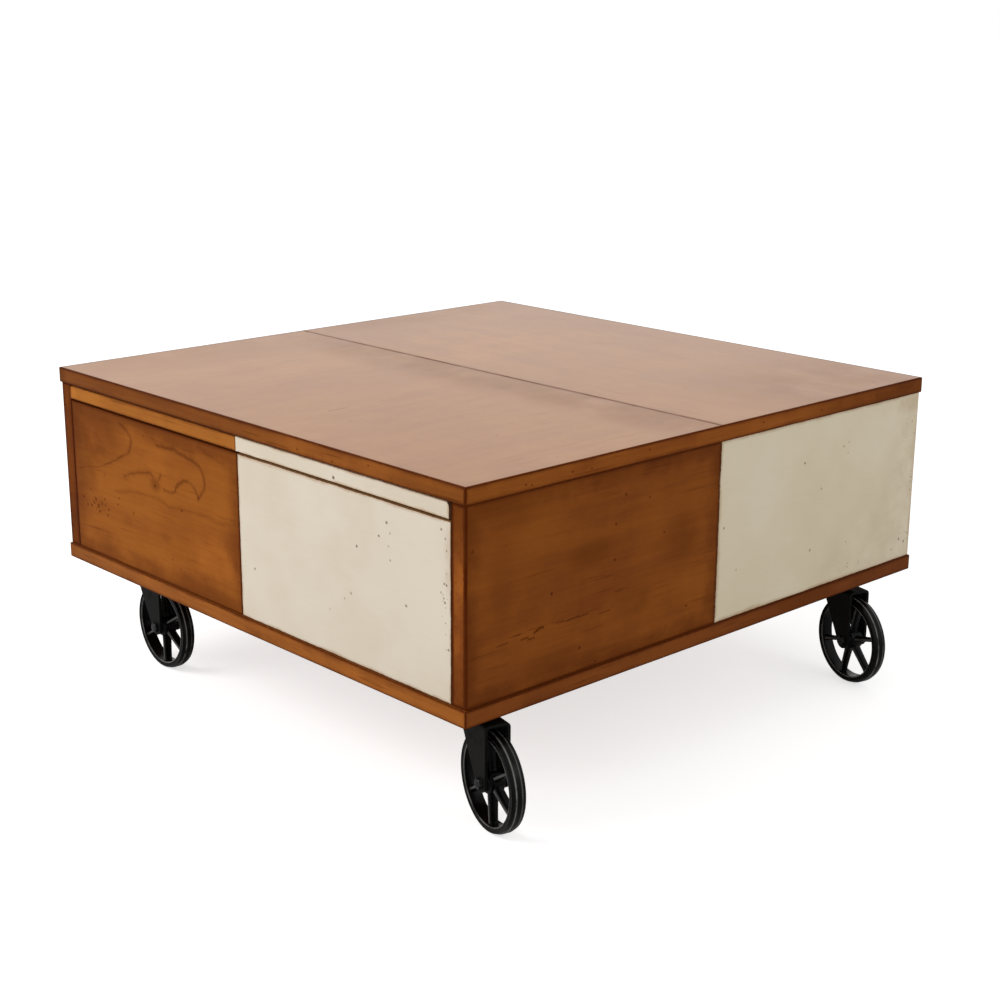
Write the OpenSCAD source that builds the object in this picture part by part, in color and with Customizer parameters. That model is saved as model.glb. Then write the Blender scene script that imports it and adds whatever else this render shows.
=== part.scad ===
/* [Table] */
// Width of the table across the drawer face
table_w = 900; // [760:10:1100]
// Depth of the table
table_d = 900; // [760:10:1100]
// Height of the table top above the floor
table_h = 456; // [420:1:520]
// Thickness of the top and bottom slabs
slab_t = 22; // [18:1:28]
// Thickness of the mitred lipping round both slabs
lip_t = 3; // [2:0.5:6]
// Rounding along the outer edges of the lipping
arris_r = 1.2; // [0.4:0.2:1.8]
// Width of the fine joint between two boards
joint_gap = 0.4; // [0.3:0.1:0.8]

/* [Case] */
// How far panels and drawer fronts stand behind the slab edges
panel_inset = 2.5; // [1:0.5:6]
// Thickness of the side panels
panel_t = 24; // [20:1:28]
// Thickness of the back panels
back_t = 20; // [16:1:24]
// Thickness of the partition between the drawers
partition_t = 18; // [14:1:24]
// Diameter of the dowels between panels and slabs
dowel_d = 8; // [6:1:10]
// Length of the dowels between panels and slabs
dowel_l = 34; // [26:1:44]

/* [Pull-out tray] */
// Height of the tray front strip
tray_front_h = 20; // [18:1:26]
// Thickness of the tray front strip
tray_front_t = 20; // [16:1:24]
// Open line between the tray front and the drawer fronts
tray_line = 3.5; // [2:0.5:6]
// Thickness of the tray board
tray_t = 14; // [12:1:16]
// Depth of the tray board behind its front strip
tray_depth = 520; // [460:5:560]
// How far the tray pulls out
tray_travel = 300; // [150:10:320]
// Height of the tray runners
tray_runner_h = 12; // [10:1:16]
// Width of the tray runners
tray_runner_w = 22; // [18:1:28]
// Diameter of the tray stop pegs
peg_d = 8; // [6:1:9]

/* [Drawers] */
// Thickness of the drawer fronts
front_t = 20; // [18:1:24]
// Gap between a drawer front and the panel beside it
front_gap = 1; // [0.6:0.1:2]
// Gap between the two drawer fronts
split_gap = 1.2; // [0.8:0.1:2]
// Depth of the drawer boxes behind their fronts
drawer_depth = 600; // [500:10:680]
// Gap between the drawer sides and the tray runners above them
drawer_head_gap = 28.7; // [6:0.1:70]
// Thickness of the drawer sides and backs
drawer_side_t = 14; // [12:1:18]
// Thickness of the drawer bottoms
drawer_bottom_t = 6; // [4:1:9]
// How far a drawer pulls out
drawer_travel = 380; // [200:10:400]
// Height of the drawer runners
runner_h = 16; // [12:1:22]
// Depth of the runner groove in a drawer side
runner_groove = 7; // [5:0.5:8]
// Diameter of the drawer dowels
small_dowel_d = 6; // [5:1:6]

/* [Castors] */
// Diameter of the wheels
wheel_d = 132; // [110:1:140]
// Width of the wheel rim
rim_w = 20; // [16:1:26]
// Radial depth of the wheel rim
rim_t = 10; // [8:1:18]
// How far the tread of a wheel is rounded off towards its sides
rim_crown = 2; // [0.5:0.5:3]
// Number of spokes in a wheel
spokes = 6; // [5:1:8]
// Height of the swivel head above the wheel
head_h = 30; // [30:1:40]
// Distance from the swivel pin back to the axle
trail = 52; // [46:1:56]
// Distance from the sides of the table to the swivel pins
castor_inset_x = 79; // [70:1:110]
// Distance from the front and back to the swivel pins
castor_inset_y = 83; // [70:1:110]
// Outer width of the fork
fork_w = 36; // [34:1:48]
// Thickness of the fork legs
fork_t = 4; // [3:0.5:5]
// Diameter of the axle bolts
axle_d = 8; // [8:1:12]
// Diameter of the swivel pins
kingpin_d = 12; // [10:1:14]
// Diameter of the castor screws
screw_d = 6; // [4:0.5:8]
// Length of the castor screws inside the slab
screw_l = 16; // [12:1:17]

/* [Hidden] */
$fn = 64;
touch_gap = 0.3;
run_fit = 0.05;
cut = 1;

// levels above the floor
castor_h = wheel_d + head_h;
case_z = castor_h + slab_t;
ceiling_z = table_h - slab_t;

// plan of the case
half_w = table_w / 2;
half_d = table_d / 2;
board_x = half_w - lip_t;
board_y = half_d - lip_t;
panel_x1 = half_w - panel_inset;
panel_x0 = panel_x1 - panel_t;
panel_xm = (panel_x0 + panel_x1) / 2;
face_y = -(half_d - panel_inset);
back_y1 = half_d - panel_inset;
back_y0 = back_y1 - back_t;
back_ym = (back_y0 + back_y1) / 2;
dowel_in_slab = slab_t * 0.55;
dowel_fit = 0.05;
side_dowel_y = [-0.42 * table_d, -0.14 * table_d, 0.14 * table_d, 0.42 * table_d];
back_dowel_x = [-0.37 * table_w, -0.12 * table_w, 0.12 * table_w, 0.37 * table_w];

// tray
tray_head_gap = 1;
tray_front_z1 = ceiling_z - tray_head_gap;
tray_front_z0 = tray_front_z1 - tray_front_h;
tray_end_gap = 2;
tray_front_w = 2 * (panel_x0 - tray_end_gap);
tray_proud = 2;
tray_y0 = face_y - tray_proud;
tray_back_y = tray_y0 + tray_front_t;
tray_tongue = 8;
tray_end_r = 7;
tray_board_z1 = tray_front_z1 - 2;
tray_board_z0 = tray_board_z1 - tray_t;
tray_rear_y = tray_back_y + tray_depth;
runner_top_z = tray_board_z0 - touch_gap;
tray_runner_z0 = runner_top_z - tray_runner_h;
drawer_front_back_y = face_y + front_t;
tray_runner_y0 = max(tray_back_y, drawer_front_back_y) + 1.5;
tray_runner_y1 = tray_rear_y + 10;
peg_inset = tray_runner_w / 2 + 2;
peg_x = panel_x0 - peg_inset;
peg_y = tray_runner_y0 + 16;
peg_clear = 0.5;
peg_up = 5;
peg_down = tray_runner_h * 0.7;
slot_d = peg_d + 2 * peg_clear;
slot_depth = peg_up + 1.5;
finger_r = 5;
finger_inset = 30;

// drawers
front_z0 = case_z + 1;
front_z1 = tray_front_z0 - tray_line;
front_w = (2 * panel_x0 - 2 * front_gap - split_gap) / 2;
box_gap = 1.5;
box_x0 = partition_t / 2 + box_gap;
box_x1 = panel_x0 - box_gap;
box_z0 = case_z + 6;
box_z1 = tray_runner_z0 - drawer_head_gap;
drawer_side_h = box_z1 - box_z0;
box_y0 = drawer_front_back_y;
box_y1 = box_y0 + drawer_depth;
bottom_lift = 6;
bottom_z0 = box_z0 + bottom_lift;
bottom_z1 = bottom_z0 + drawer_bottom_t;
bottom_groove = 6;
groove_clear = 0.5;
groove_h = runner_h + 2 * groove_clear;
groove_z0 = box_z0 + drawer_side_h / 2 - groove_h / 2;
runner_z0 = groove_z0 + groove_clear;
groove_y0 = box_y0 + 8;
runner_y0 = groove_y0 + groove_clear;
runner_y1 = min(box_y1 + 20, back_y0 - 20);
runner_out = box_gap + runner_groove - groove_clear;
grip_r = 8;
grip_inset = 60;
grip_z = front_z1 - 16;
partition_y0 = drawer_front_back_y + 1;
partition_step_y = tray_rear_y + 12;
small_dowel_l = 28;
back_dowel_l = 24;
small_dowel_z = [box_z0 + drawer_side_h * 0.22, box_z0 + drawer_side_h * 0.82];
back_h = drawer_side_h - 8;

// castors: the four swivel pins, their turn and the turn of their spokes at rest
kp_x = half_w - castor_inset_x;
kp_y = half_d - castor_inset_y;
pins = [[-kp_x, -kp_y], [kp_x, -kp_y], [kp_x, kp_y], [-kp_x, kp_y]];
turns = [-2, -13.5, -14, -8];
spoke_turns = [30, 32, 16, 5];
plate_t = 4;
plate_l = 96;
plate_w = 84;
plate_r = 8;
crown_gap = 8;
crown_t = 5;
crown_z0 = -(head_h - crown_gap);
crown_z1 = crown_z0 + crown_t;
crown_r = 28;
skirt_z = -head_h * 0.42;
skirt_r = 27;
skirt_t = 5;
boss_r = skirt_r - skirt_t - 2;
leg_r = 12;
leg_flare_x = -14;
leg_front_x = 6;
axle_z = -(head_h + wheel_d / 2);
leg_y1 = fork_w / 2;
leg_y0 = leg_y1 - fork_t;
washer_t = 1.2;
hub_l = 2 * (leg_y0 - washer_t - touch_gap);
hub_r = 15;
wheel_r = wheel_d / 2;
rim_r = wheel_r - rim_t;
tread_r = (pow(rim_w / 2, 2) + pow(rim_crown, 2)) / (2 * rim_crown);
web_w = rim_w * 0.4;
hex_r = axle_d * 0.94;
head_t = 5;
kp_head_r = kingpin_d * 0.8;
kp_head_t = 5;
plate_hole_x = plate_l / 2 - 12;
plate_hole_y = plate_w / 2 - 12;
screw_head_r = 5.8;
screw_head_t = 3.6;

wood_tone = "SaddleBrown";
cream_tone = "AntiqueWhite";
inside_tone = "BurlyWood";
iron_tone = [0.12, 0.12, 0.13];
steel_tone = "Gray";

// general shapes

// box from a low corner to a high corner
module span(a, b) {
  translate(a) cube(b - a);
}

// upright dowel bores or dowels of both slabs, for the side panels and the back panels
module dowel_places() {
  for (s = [-1, 1])
    for (y = side_dowel_y)
      translate([s * panel_xm, y, 0]) children();
  for (x = back_dowel_x)
    translate([x, back_ym, 0]) children();
}

module dowel_at(z, extra) {
  translate([0, 0, z - dowel_l / 2 - extra])
    cylinder(d = dowel_d + 2 * extra, h = dowel_l + 2 * extra);
}

// dowels cross the underside of the top slab and the upper face of the bottom slab
top_dowel_z = ceiling_z + dowel_in_slab - dowel_l / 2;
low_dowel_z = case_z - dowel_in_slab + dowel_l / 2;

module dowel_set(extra) {
  dowel_places() {
    dowel_at(top_dowel_z, extra);
    dowel_at(low_dowel_z, extra);
  }
}

// slabs

module lipping_profile() {
  union() {
    translate([-lip_t, 0]) square([lip_t - arris_r, slab_t]);
    translate([-arris_r - cut, arris_r]) square([arris_r + cut, slab_t - 2 * arris_r]);
    for (z = [arris_r, slab_t - arris_r])
      translate([-arris_r, z]) circle(r = arris_r, $fn = 32);
  }
}

// one mitred strip along the side at distance `reach`, of a slab `length` long
module lipping_strip(reach, length, turn, z) {
  translate([0, 0, z])
    rotate([0, 0, turn])
      intersection() {
        translate([reach, length / 2, 0])
          rotate([90, 0, 0])
            linear_extrude(height = length) lipping_profile();
        linear_extrude(height = slab_t)
          polygon([
            [reach - lip_t - cut, -length / 2 + lip_t + cut],
            [reach, -length / 2],
            [reach, length / 2],
            [reach - lip_t - cut, length / 2 - lip_t - cut]
          ]);
      }
}

module top_board(y0, y1) {
  difference() {
    span([-board_x, y0, ceiling_z], [board_x, y1, table_h]);
    dowel_set(dowel_fit);
  }
}

module top_board_front() color(wood_tone) top_board(-board_y, -joint_gap / 2);
module top_board_rear() color(wood_tone) top_board(joint_gap / 2, board_y);

module bottom_board() {
  color(wood_tone)
    difference() {
      span([-board_x, -board_y, castor_h], [board_x, board_y, case_z]);
      dowel_set(dowel_fit);
      screw_places()
        translate([0, 0, -cut])
          cylinder(d = screw_d + 2 * dowel_fit, h = screw_l + cut + 0.5);
    }
}

module top_lipping_front() color(wood_tone) lipping_strip(half_d, table_w, -90, ceiling_z);
module top_lipping_right() color(wood_tone) lipping_strip(half_w, table_d, 0, ceiling_z);
module top_lipping_back() color(wood_tone) lipping_strip(half_d, table_w, 90, ceiling_z);
module top_lipping_left() color(wood_tone) lipping_strip(half_w, table_d, 180, ceiling_z);
module bottom_lipping_front() color(wood_tone) lipping_strip(half_d, table_w, -90, castor_h);
module bottom_lipping_right() color(wood_tone) lipping_strip(half_w, table_d, 0, castor_h);
module bottom_lipping_back() color(wood_tone) lipping_strip(half_d, table_w, 90, castor_h);
module bottom_lipping_left() color(wood_tone) lipping_strip(half_w, table_d, 180, castor_h);

// panels

module side_panel(side, y0, y1) {
  x0 = side > 0 ? panel_x0 : -panel_x1;
  difference() {
    span([x0, y0, case_z], [x0 + panel_t, y1, ceiling_z]);
    dowel_set(dowel_fit);
  }
}

module back_panel(x0, x1) {
  difference() {
    span([x0, back_y0, case_z], [x1, back_y1, ceiling_z]);
    dowel_set(dowel_fit);
  }
}

module right_panel_wood() color(wood_tone) side_panel(1, face_y, -joint_gap / 2);
module right_panel_cream() color(cream_tone) side_panel(1, joint_gap / 2, back_y1);
module left_panel_wood() color(wood_tone) side_panel(-1, face_y, -joint_gap / 2);
module left_panel_cream() color(cream_tone) side_panel(-1, joint_gap / 2, back_y1);
module back_panel_wood() color(wood_tone) back_panel(joint_gap / 2, panel_x0);
module back_panel_cream() color(cream_tone) back_panel(-panel_x0, -joint_gap / 2);

// the partition carries the middle of the tray and reaches the top behind it
module centre_partition() {
  color(inside_tone)
    union() {
      span([-partition_t / 2, partition_y0, case_z], [partition_t / 2, back_y0, runner_top_z]);
      span([-partition_t / 2, partition_step_y, runner_top_z],
        [partition_t / 2, back_y0, ceiling_z]);
    }
}

module panel_dowels() color(inside_tone) dowel_set(0);

// tray

module tray_slot(side) {
  for (y = [peg_y, peg_y + tray_travel])
    translate([side * peg_x, y, tray_board_z0 - cut])
      cylinder(d = slot_d, h = slot_depth + cut);
  span([side * peg_x - slot_d / 2, peg_y, tray_board_z0 - cut],
    [side * peg_x + slot_d / 2, peg_y + tray_travel, tray_board_z0 + slot_depth]);
}

module tray_board() {
  color(wood_tone)
    difference() {
      span([-tray_front_w / 2, tray_back_y - tray_tongue, tray_board_z0],
        [tray_front_w / 2, tray_rear_y, tray_board_z1]);
      for (side = [-1, 1]) tray_slot(side);
      for (side = [-1, 1])
        span([side * tray_front_w / 2 - tray_tongue, tray_back_y - tray_tongue - cut,
            tray_board_z0 - cut],
          [side * tray_front_w / 2 + tray_tongue, tray_back_y, tray_board_z1 + cut]);
    }
}

// outline of the strip seen from the front, with its upper corners rounded
module tray_front_outline() {
  union() {
    translate([-tray_front_w / 2, tray_front_z0])
      square([tray_front_w, tray_front_h - tray_end_r]);
    translate([-tray_front_w / 2 + tray_end_r, tray_front_z0])
      square([tray_front_w - 2 * tray_end_r, tray_front_h]);
    for (s = [-1, 1])
      translate([s * (tray_front_w / 2 - tray_end_r), tray_front_z1 - tray_end_r])
        circle(r = tray_end_r, $fn = 48);
  }
}

module tray_front() {
  color(wood_tone)
    difference() {
      translate([0, tray_back_y, 0])
        rotate([90, 0, 0])
          linear_extrude(height = tray_front_t) tray_front_outline();
      span([-tray_front_w / 2 + tray_tongue, tray_back_y - tray_tongue, tray_board_z0],
        [tray_front_w / 2 - tray_tongue, tray_back_y + cut, tray_board_z1]);
      translate([-tray_front_w / 2 + finger_inset, tray_y0 + tray_front_t / 2, tray_front_z0])
        rotate([0, 90, 0]) cylinder(r = finger_r, h = tray_front_w - 2 * finger_inset);
    }
}

module tray_runners() {
  color(inside_tone)
    for (side = [-1, 1])
      difference() {
        span([side > 0 ? panel_x0 - tray_runner_w : -panel_x0, tray_runner_y0, tray_runner_z0],
          [side > 0 ? panel_x0 : -panel_x0 + tray_runner_w, tray_runner_y1, runner_top_z]);
        translate([side * peg_x, peg_y, runner_top_z - peg_down])
          cylinder(d = peg_d, h = peg_down + cut);
      }
}

module tray_stop_pegs() {
  color(steel_tone)
    for (side = [-1, 1])
      translate([side * peg_x, peg_y, runner_top_z - peg_down])
        cylinder(d = peg_d, h = peg_down + peg_up + touch_gap);
}

// drawers, drawn for the right one and mirrored for the left one

module drawer_dowel_bars(extra) {
  for (x = [box_x0 + drawer_side_t / 2, box_x1 - drawer_side_t / 2])
    for (z = small_dowel_z)
      translate([x, box_y0 + small_dowel_l / 2 + extra, z])
        rotate([90, 0, 0])
          cylinder(d = small_dowel_d + 2 * extra, h = small_dowel_l + 2 * extra);
  for (x = [box_x0, box_x1 - back_dowel_l])
    for (z = small_dowel_z)
      translate([x - extra, box_y1 - drawer_side_t / 2, z])
        rotate([0, 90, 0])
          cylinder(d = small_dowel_d + 2 * extra, h = back_dowel_l + 2 * extra);
}

module drawer_bottom_space() {
  span([box_x0 + drawer_side_t - bottom_groove, box_y0 - bottom_groove, bottom_z0],
    [box_x1 - drawer_side_t + bottom_groove, box_y1 - drawer_side_t + bottom_groove, bottom_z1]);
}

module drawer_front() {
  difference() {
    span([split_gap / 2, face_y, front_z0],
      [split_gap / 2 + front_w, drawer_front_back_y, front_z1]);
    drawer_bottom_space();
    drawer_dowel_bars(dowel_fit);
    translate([split_gap / 2 + grip_inset, drawer_front_back_y, grip_z])
      rotate([0, 90, 0]) cylinder(r = grip_r, h = front_w - 2 * grip_inset);
  }
}

// side with its runner groove on the face at x = `groove_x`
module drawer_side(x0, groove_x0) {
  difference() {
    span([x0, box_y0, box_z0], [x0 + drawer_side_t, box_y1, box_z1]);
    span([groove_x0, groove_y0, groove_z0],
      [groove_x0 + runner_groove + cut, box_y1 + cut, groove_z0 + groove_h]);
    drawer_bottom_space();
    drawer_dowel_bars(dowel_fit);
  }
}

module drawer_back() {
  difference() {
    span([box_x0 + drawer_side_t, box_y1 - drawer_side_t, box_z0],
      [box_x1 - drawer_side_t, box_y1, box_z0 + back_h]);
    drawer_bottom_space();
    drawer_dowel_bars(dowel_fit);
  }
}

module outer_side() {
  drawer_side(box_x1 - drawer_side_t, box_x1 - runner_groove);
}

module inner_side() {
  drawer_side(box_x0, box_x0 - cut);
}

module drawer_right_front() color(cream_tone) drawer_front();
module drawer_right_outer_side() color(inside_tone) outer_side();
module drawer_right_inner_side() color(inside_tone) inner_side();
module drawer_right_back() color(inside_tone) drawer_back();
module drawer_right_bottom() color(inside_tone) drawer_bottom_space();
module drawer_right_dowels() color(inside_tone) drawer_dowel_bars(0);
module drawer_left_front() color(wood_tone) mirror([1, 0, 0]) drawer_front();
module drawer_left_outer_side() color(inside_tone) mirror([1, 0, 0]) outer_side();
module drawer_left_inner_side() color(inside_tone) mirror([1, 0, 0]) inner_side();
module drawer_left_back() color(inside_tone) mirror([1, 0, 0]) drawer_back();
module drawer_left_bottom() color(inside_tone) mirror([1, 0, 0]) drawer_bottom_space();
module drawer_left_dowels() color(inside_tone) mirror([1, 0, 0]) drawer_dowel_bars(0);

module drawer_runners() {
  color(inside_tone)
    for (m = [0, 1])
      mirror([m, 0, 0])
        for (x = [partition_t / 2, panel_x0 - runner_out])
          span([x, runner_y0, runner_z0], [x + runner_out, runner_y1, runner_z0 + runner_h]);
}

// castors, drawn with the swivel pin on the z axis and the slab underside at z = 0

module place_castor(i) {
  translate([pins[i][0], pins[i][1], castor_h])
    rotate([0, 0, turns[i]])
      children();
}

module screw_places() {
  for (i = [0 : 3])
    place_castor(i)
      rotate([0, 0, -turns[i]])
        for (x = [-plate_hole_x, plate_hole_x])
          for (y = [-plate_hole_y, plate_hole_y])
            translate([x, y, 0]) children();
}

module plate_outline() {
  union() {
    translate([-plate_l / 2 + plate_r, -plate_w / 2]) square([plate_l - 2 * plate_r, plate_w]);
    translate([-plate_l / 2, -plate_w / 2 + plate_r]) square([plate_l, plate_w - 2 * plate_r]);
    for (x = [-1, 1])
      for (y = [-1, 1])
        translate([x * (plate_l / 2 - plate_r), y * (plate_w / 2 - plate_r)])
          circle(r = plate_r, $fn = 32);
  }
}

// the plate stays square to the table, only the fork below it turns
module castor_plate(i) {
  color(iron_tone)
    place_castor(i)
      rotate([0, 0, -turns[i]])
        difference() {
          union() {
            translate([0, 0, -plate_t]) linear_extrude(height = plate_t) plate_outline();
            translate([0, 0, skirt_z]) cylinder(r = skirt_r, h = -skirt_z - plate_t + 0.5);
          }
          translate([0, 0, skirt_z - cut])
            cylinder(r = skirt_r - skirt_t, h = -skirt_z - plate_t + cut);
          translate([0, 0, -plate_t - cut]) cylinder(d = kingpin_d, h = plate_t + 2 * cut);
          for (x = [-plate_hole_x, plate_hole_x])
            for (y = [-plate_hole_y, plate_hole_y])
              translate([x, y, -plate_t - cut])
                cylinder(d = screw_d + 2 * dowel_fit, h = plate_t + 2 * cut);
        }
}

// where the straight front edge of a leg meets the round end about the axle
function tangent_point(p, c, r) =
  let (d = norm(c - p))
  let (a = atan2(p[1] - c[1], p[0] - c[0]))
  let (b = acos(r / d))
  [c[0] + r * cos(a + b), c[1] + r * sin(a + b)];

leg_start = [leg_front_x, crown_z0 - 12];
leg_tangent = tangent_point(leg_start, [trail, axle_z], leg_r);

module leg_outline() {
  union() {
    translate([trail, axle_z]) circle(r = leg_r);
    polygon([
      [leg_flare_x, crown_z1],
      [leg_flare_x, crown_z0 - 1],
      [leg_flare_x * 0.35, crown_z0 - 3.5],
      [leg_front_x * 0.45, crown_z0 - 6.5],
      leg_start,
      leg_tangent,
      [trail, axle_z],
      [trail + leg_r, axle_z],
      [trail + leg_r, crown_z1]
    ]);
  }
}

module crown_outline() {
  union() {
    circle(r = crown_r);
    translate([0, -fork_w / 2]) square([trail + leg_r, fork_w]);
  }
}

module castor_fork(i) {
  color(iron_tone)
    place_castor(i)
      difference() {
        union() {
          translate([0, 0, crown_z0]) linear_extrude(height = crown_t) crown_outline();
          translate([0, 0, crown_z1 - 0.5])
            cylinder(r = crown_r, h = skirt_z - touch_gap - crown_z1 + 0.5);
          translate([0, 0, crown_z1 - 0.5])
            cylinder(r = boss_r, h = -plate_t - touch_gap - crown_z1 + 0.5);
          for (y = [leg_y1, -leg_y0])
            translate([0, y, 0])
              rotate([90, 0, 0]) linear_extrude(height = fork_t) leg_outline();
        }
        translate([0, 0, crown_z0 - cut])
          cylinder(d = kingpin_d + 2 * run_fit, h = head_h);
        translate([trail, leg_y1 + cut, axle_z])
          rotate([90, 0, 0]) cylinder(d = axle_d, h = fork_w + 2 * cut);
      }
}

// half section of the rim with its rounded tread: radius across, width up
module rim_profile() {
  intersection() {
    translate([rim_r, -rim_w / 2]) square([rim_t, rim_w]);
    translate([wheel_r - tread_r, 0]) circle(r = tread_r, $fn = 96);
  }
}

module castor_wheel(i) {
  color(iron_tone)
    place_castor(i)
      translate([trail, 0, axle_z])
        rotate([90, 0, 0])
          rotate([0, 0, spoke_turns[i]])
            difference() {
              union() {
                rotate_extrude($fn = 96) rim_profile();
                translate([0, 0, -rim_w / 2]) cylinder(r = hub_r, h = rim_w);
                translate([0, 0, -hub_l / 2]) cylinder(r = hub_r - 3, h = hub_l);
                for (k = [0 : spokes - 1])
                  rotate([0, 0, k * 360 / spokes])
                    translate([hub_r - 3, 0, 0])
                      rotate([0, 90, 0])
                        cylinder(r1 = web_w * 0.55, r2 = web_w * 0.45,
                          h = rim_r - hub_r + 6);
              }
              translate([0, 0, -hub_l])
                cylinder(d = axle_d + 2 * run_fit, h = 2 * hub_l);
            }
}

// bolt head, shank, nut and the two washers beside the hub
module castor_axle(i) {
  color(steel_tone)
    place_castor(i)
      translate([trail, 0, axle_z])
        rotate([90, 0, 0]) {
          union() {
            translate([0, 0, -leg_y1 - head_t - 2])
              cylinder(d = axle_d, h = fork_w + head_t + 2.5);
            translate([0, 0, leg_y1]) cylinder(r = hex_r, h = head_t, $fn = 6);
          }
          difference() {
            translate([0, 0, -leg_y1 - head_t]) cylinder(r = hex_r, h = head_t, $fn = 6);
            translate([0, 0, -leg_y1 - head_t - cut]) cylinder(d = axle_d, h = head_t + 2 * cut);
          }
          for (z = [-leg_y0, leg_y0 - washer_t])
            difference() {
              translate([0, 0, z]) cylinder(d = axle_d + 8, h = washer_t);
              translate([0, 0, z - cut]) cylinder(d = axle_d, h = washer_t + 2 * cut);
            }
        }
}

module castor_kingpins() {
  color(steel_tone)
    for (i = [0 : 3])
      place_castor(i)
        union() {
          translate([0, 0, crown_z0 - touch_gap - 1])
            cylinder(d = kingpin_d, h = -crown_z0 + touch_gap + 1);
          translate([0, 0, crown_z0 - touch_gap - kp_head_t])
            cylinder(r = kp_head_r, h = kp_head_t);
        }
}

module castor_screws() {
  color(steel_tone)
    screw_places()
      union() {
        translate([0, 0, -plate_t - 0.5]) cylinder(d = screw_d, h = screw_l + plate_t + 0.5);
        translate([0, 0, -plate_t - screw_head_t])
          cylinder(r = screw_head_r, h = screw_head_t);
      }
}

module castor_plate_front_left() castor_plate(0);
module castor_plate_front_right() castor_plate(1);
module castor_plate_back_right() castor_plate(2);
module castor_plate_back_left() castor_plate(3);
module castor_fork_front_left() castor_fork(0);
module castor_fork_front_right() castor_fork(1);
module castor_fork_back_right() castor_fork(2);
module castor_fork_back_left() castor_fork(3);
module castor_wheel_front_left() castor_wheel(0);
module castor_wheel_front_right() castor_wheel(1);
module castor_wheel_back_right() castor_wheel(2);
module castor_wheel_back_left() castor_wheel(3);
module castor_axle_front_left() castor_axle(0);
module castor_axle_front_right() castor_axle(1);
module castor_axle_back_right() castor_axle(2);
module castor_axle_back_left() castor_axle(3);

top_board_front();
top_board_rear();
top_lipping_front();
top_lipping_right();
top_lipping_back();
top_lipping_left();
bottom_board();
bottom_lipping_front();
bottom_lipping_right();
bottom_lipping_back();
bottom_lipping_left();
right_panel_wood();
right_panel_cream();
left_panel_cream();
left_panel_wood();
back_panel_wood();
back_panel_cream();
centre_partition();
panel_dowels();
tray_board();
tray_front();
tray_runners();
tray_stop_pegs();
drawer_left_front();
drawer_left_outer_side();
drawer_left_inner_side();
drawer_left_back();
drawer_left_bottom();
drawer_left_dowels();
drawer_right_front();
drawer_right_outer_side();
drawer_right_inner_side();
drawer_right_back();
drawer_right_bottom();
drawer_right_dowels();
drawer_runners();
castor_plate_front_left();
castor_plate_front_right();
castor_plate_back_right();
castor_plate_back_left();
castor_fork_front_left();
castor_fork_front_right();
castor_fork_back_right();
castor_fork_back_left();
castor_wheel_front_left();
castor_wheel_front_right();
castor_wheel_back_right();
castor_wheel_back_left();
castor_axle_front_left();
castor_axle_front_right();
castor_axle_back_right();
castor_axle_back_left();
castor_kingpins();
castor_screws();
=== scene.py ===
"""Looks of a square coffee table on castors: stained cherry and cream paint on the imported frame."""

import logging
import math
from dataclasses import dataclass, field, replace
from enum import Enum
from functools import reduce
from typing import Any, ClassVar, Optional, Sequence, Union

import bmesh
import bpy
import numpy as np
from mathutils import Matrix, Vector


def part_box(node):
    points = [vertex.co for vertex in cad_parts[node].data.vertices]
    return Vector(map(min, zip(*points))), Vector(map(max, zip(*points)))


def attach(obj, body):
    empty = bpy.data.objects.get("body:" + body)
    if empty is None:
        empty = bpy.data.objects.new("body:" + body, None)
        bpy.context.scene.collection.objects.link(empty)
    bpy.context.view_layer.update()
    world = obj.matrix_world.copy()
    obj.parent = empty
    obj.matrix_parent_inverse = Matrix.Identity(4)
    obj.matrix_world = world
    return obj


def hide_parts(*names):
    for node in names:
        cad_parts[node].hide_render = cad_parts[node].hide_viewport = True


logging.basicConfig(level=logging.INFO, format="%(message)s")
log = logging.getLogger("table")

Number = Union[int, float]
Pair = tuple[float, float]
Point = tuple[float, float, float]
Colour = tuple[float, float, float]
Row = tuple[float, ...]
Object = bpy.types.Object
Socket = bpy.types.NodeSocket
MM = 0.001
WHITE = (1.0, 1.0, 1.0)

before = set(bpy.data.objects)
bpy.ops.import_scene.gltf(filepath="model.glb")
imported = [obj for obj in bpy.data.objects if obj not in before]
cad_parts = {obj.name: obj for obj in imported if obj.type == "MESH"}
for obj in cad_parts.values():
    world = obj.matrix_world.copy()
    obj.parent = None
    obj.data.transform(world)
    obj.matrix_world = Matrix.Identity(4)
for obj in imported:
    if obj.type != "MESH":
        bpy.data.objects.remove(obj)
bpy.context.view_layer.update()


def linear(*screen: Number) -> Colour:
    """A colour written in 0 to 255 screen values, in the linear light that a socket takes."""
    shares = (value / 255 for value in screen)
    return tuple(s / 12.92 if s <= 0.04045 else ((s + 0.055) / 1.055) ** 2.4 for s in shares)


class Axis(Enum):
    """Direction along which wood grain runs, or across which a face lies."""

    X = 0
    Y = 1
    Z = 2


class Shape(Enum):
    """How a part is made from its CAD node."""

    BOARD = "rounded board over its box"
    EASED = "copy with eased edges"


@dataclass(frozen=True)
class Box:
    """A box in metres, by its lowest and highest corners."""

    low: Point
    high: Point
    folded: bool = False  # measures x from the middle plane both ways

    @staticmethod
    def of(node: str) -> "Box":
        """The box of one CAD node at rest."""
        return Box(*(tuple(float(v) for v in corner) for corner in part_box(node)))

    def thinnest(self) -> Axis:
        """The axis along which the box is thinnest."""
        spans = [high - low for low, high in zip(self.low, self.high)]
        return Axis(spans.index(min(spans)))


# shader maths


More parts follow.
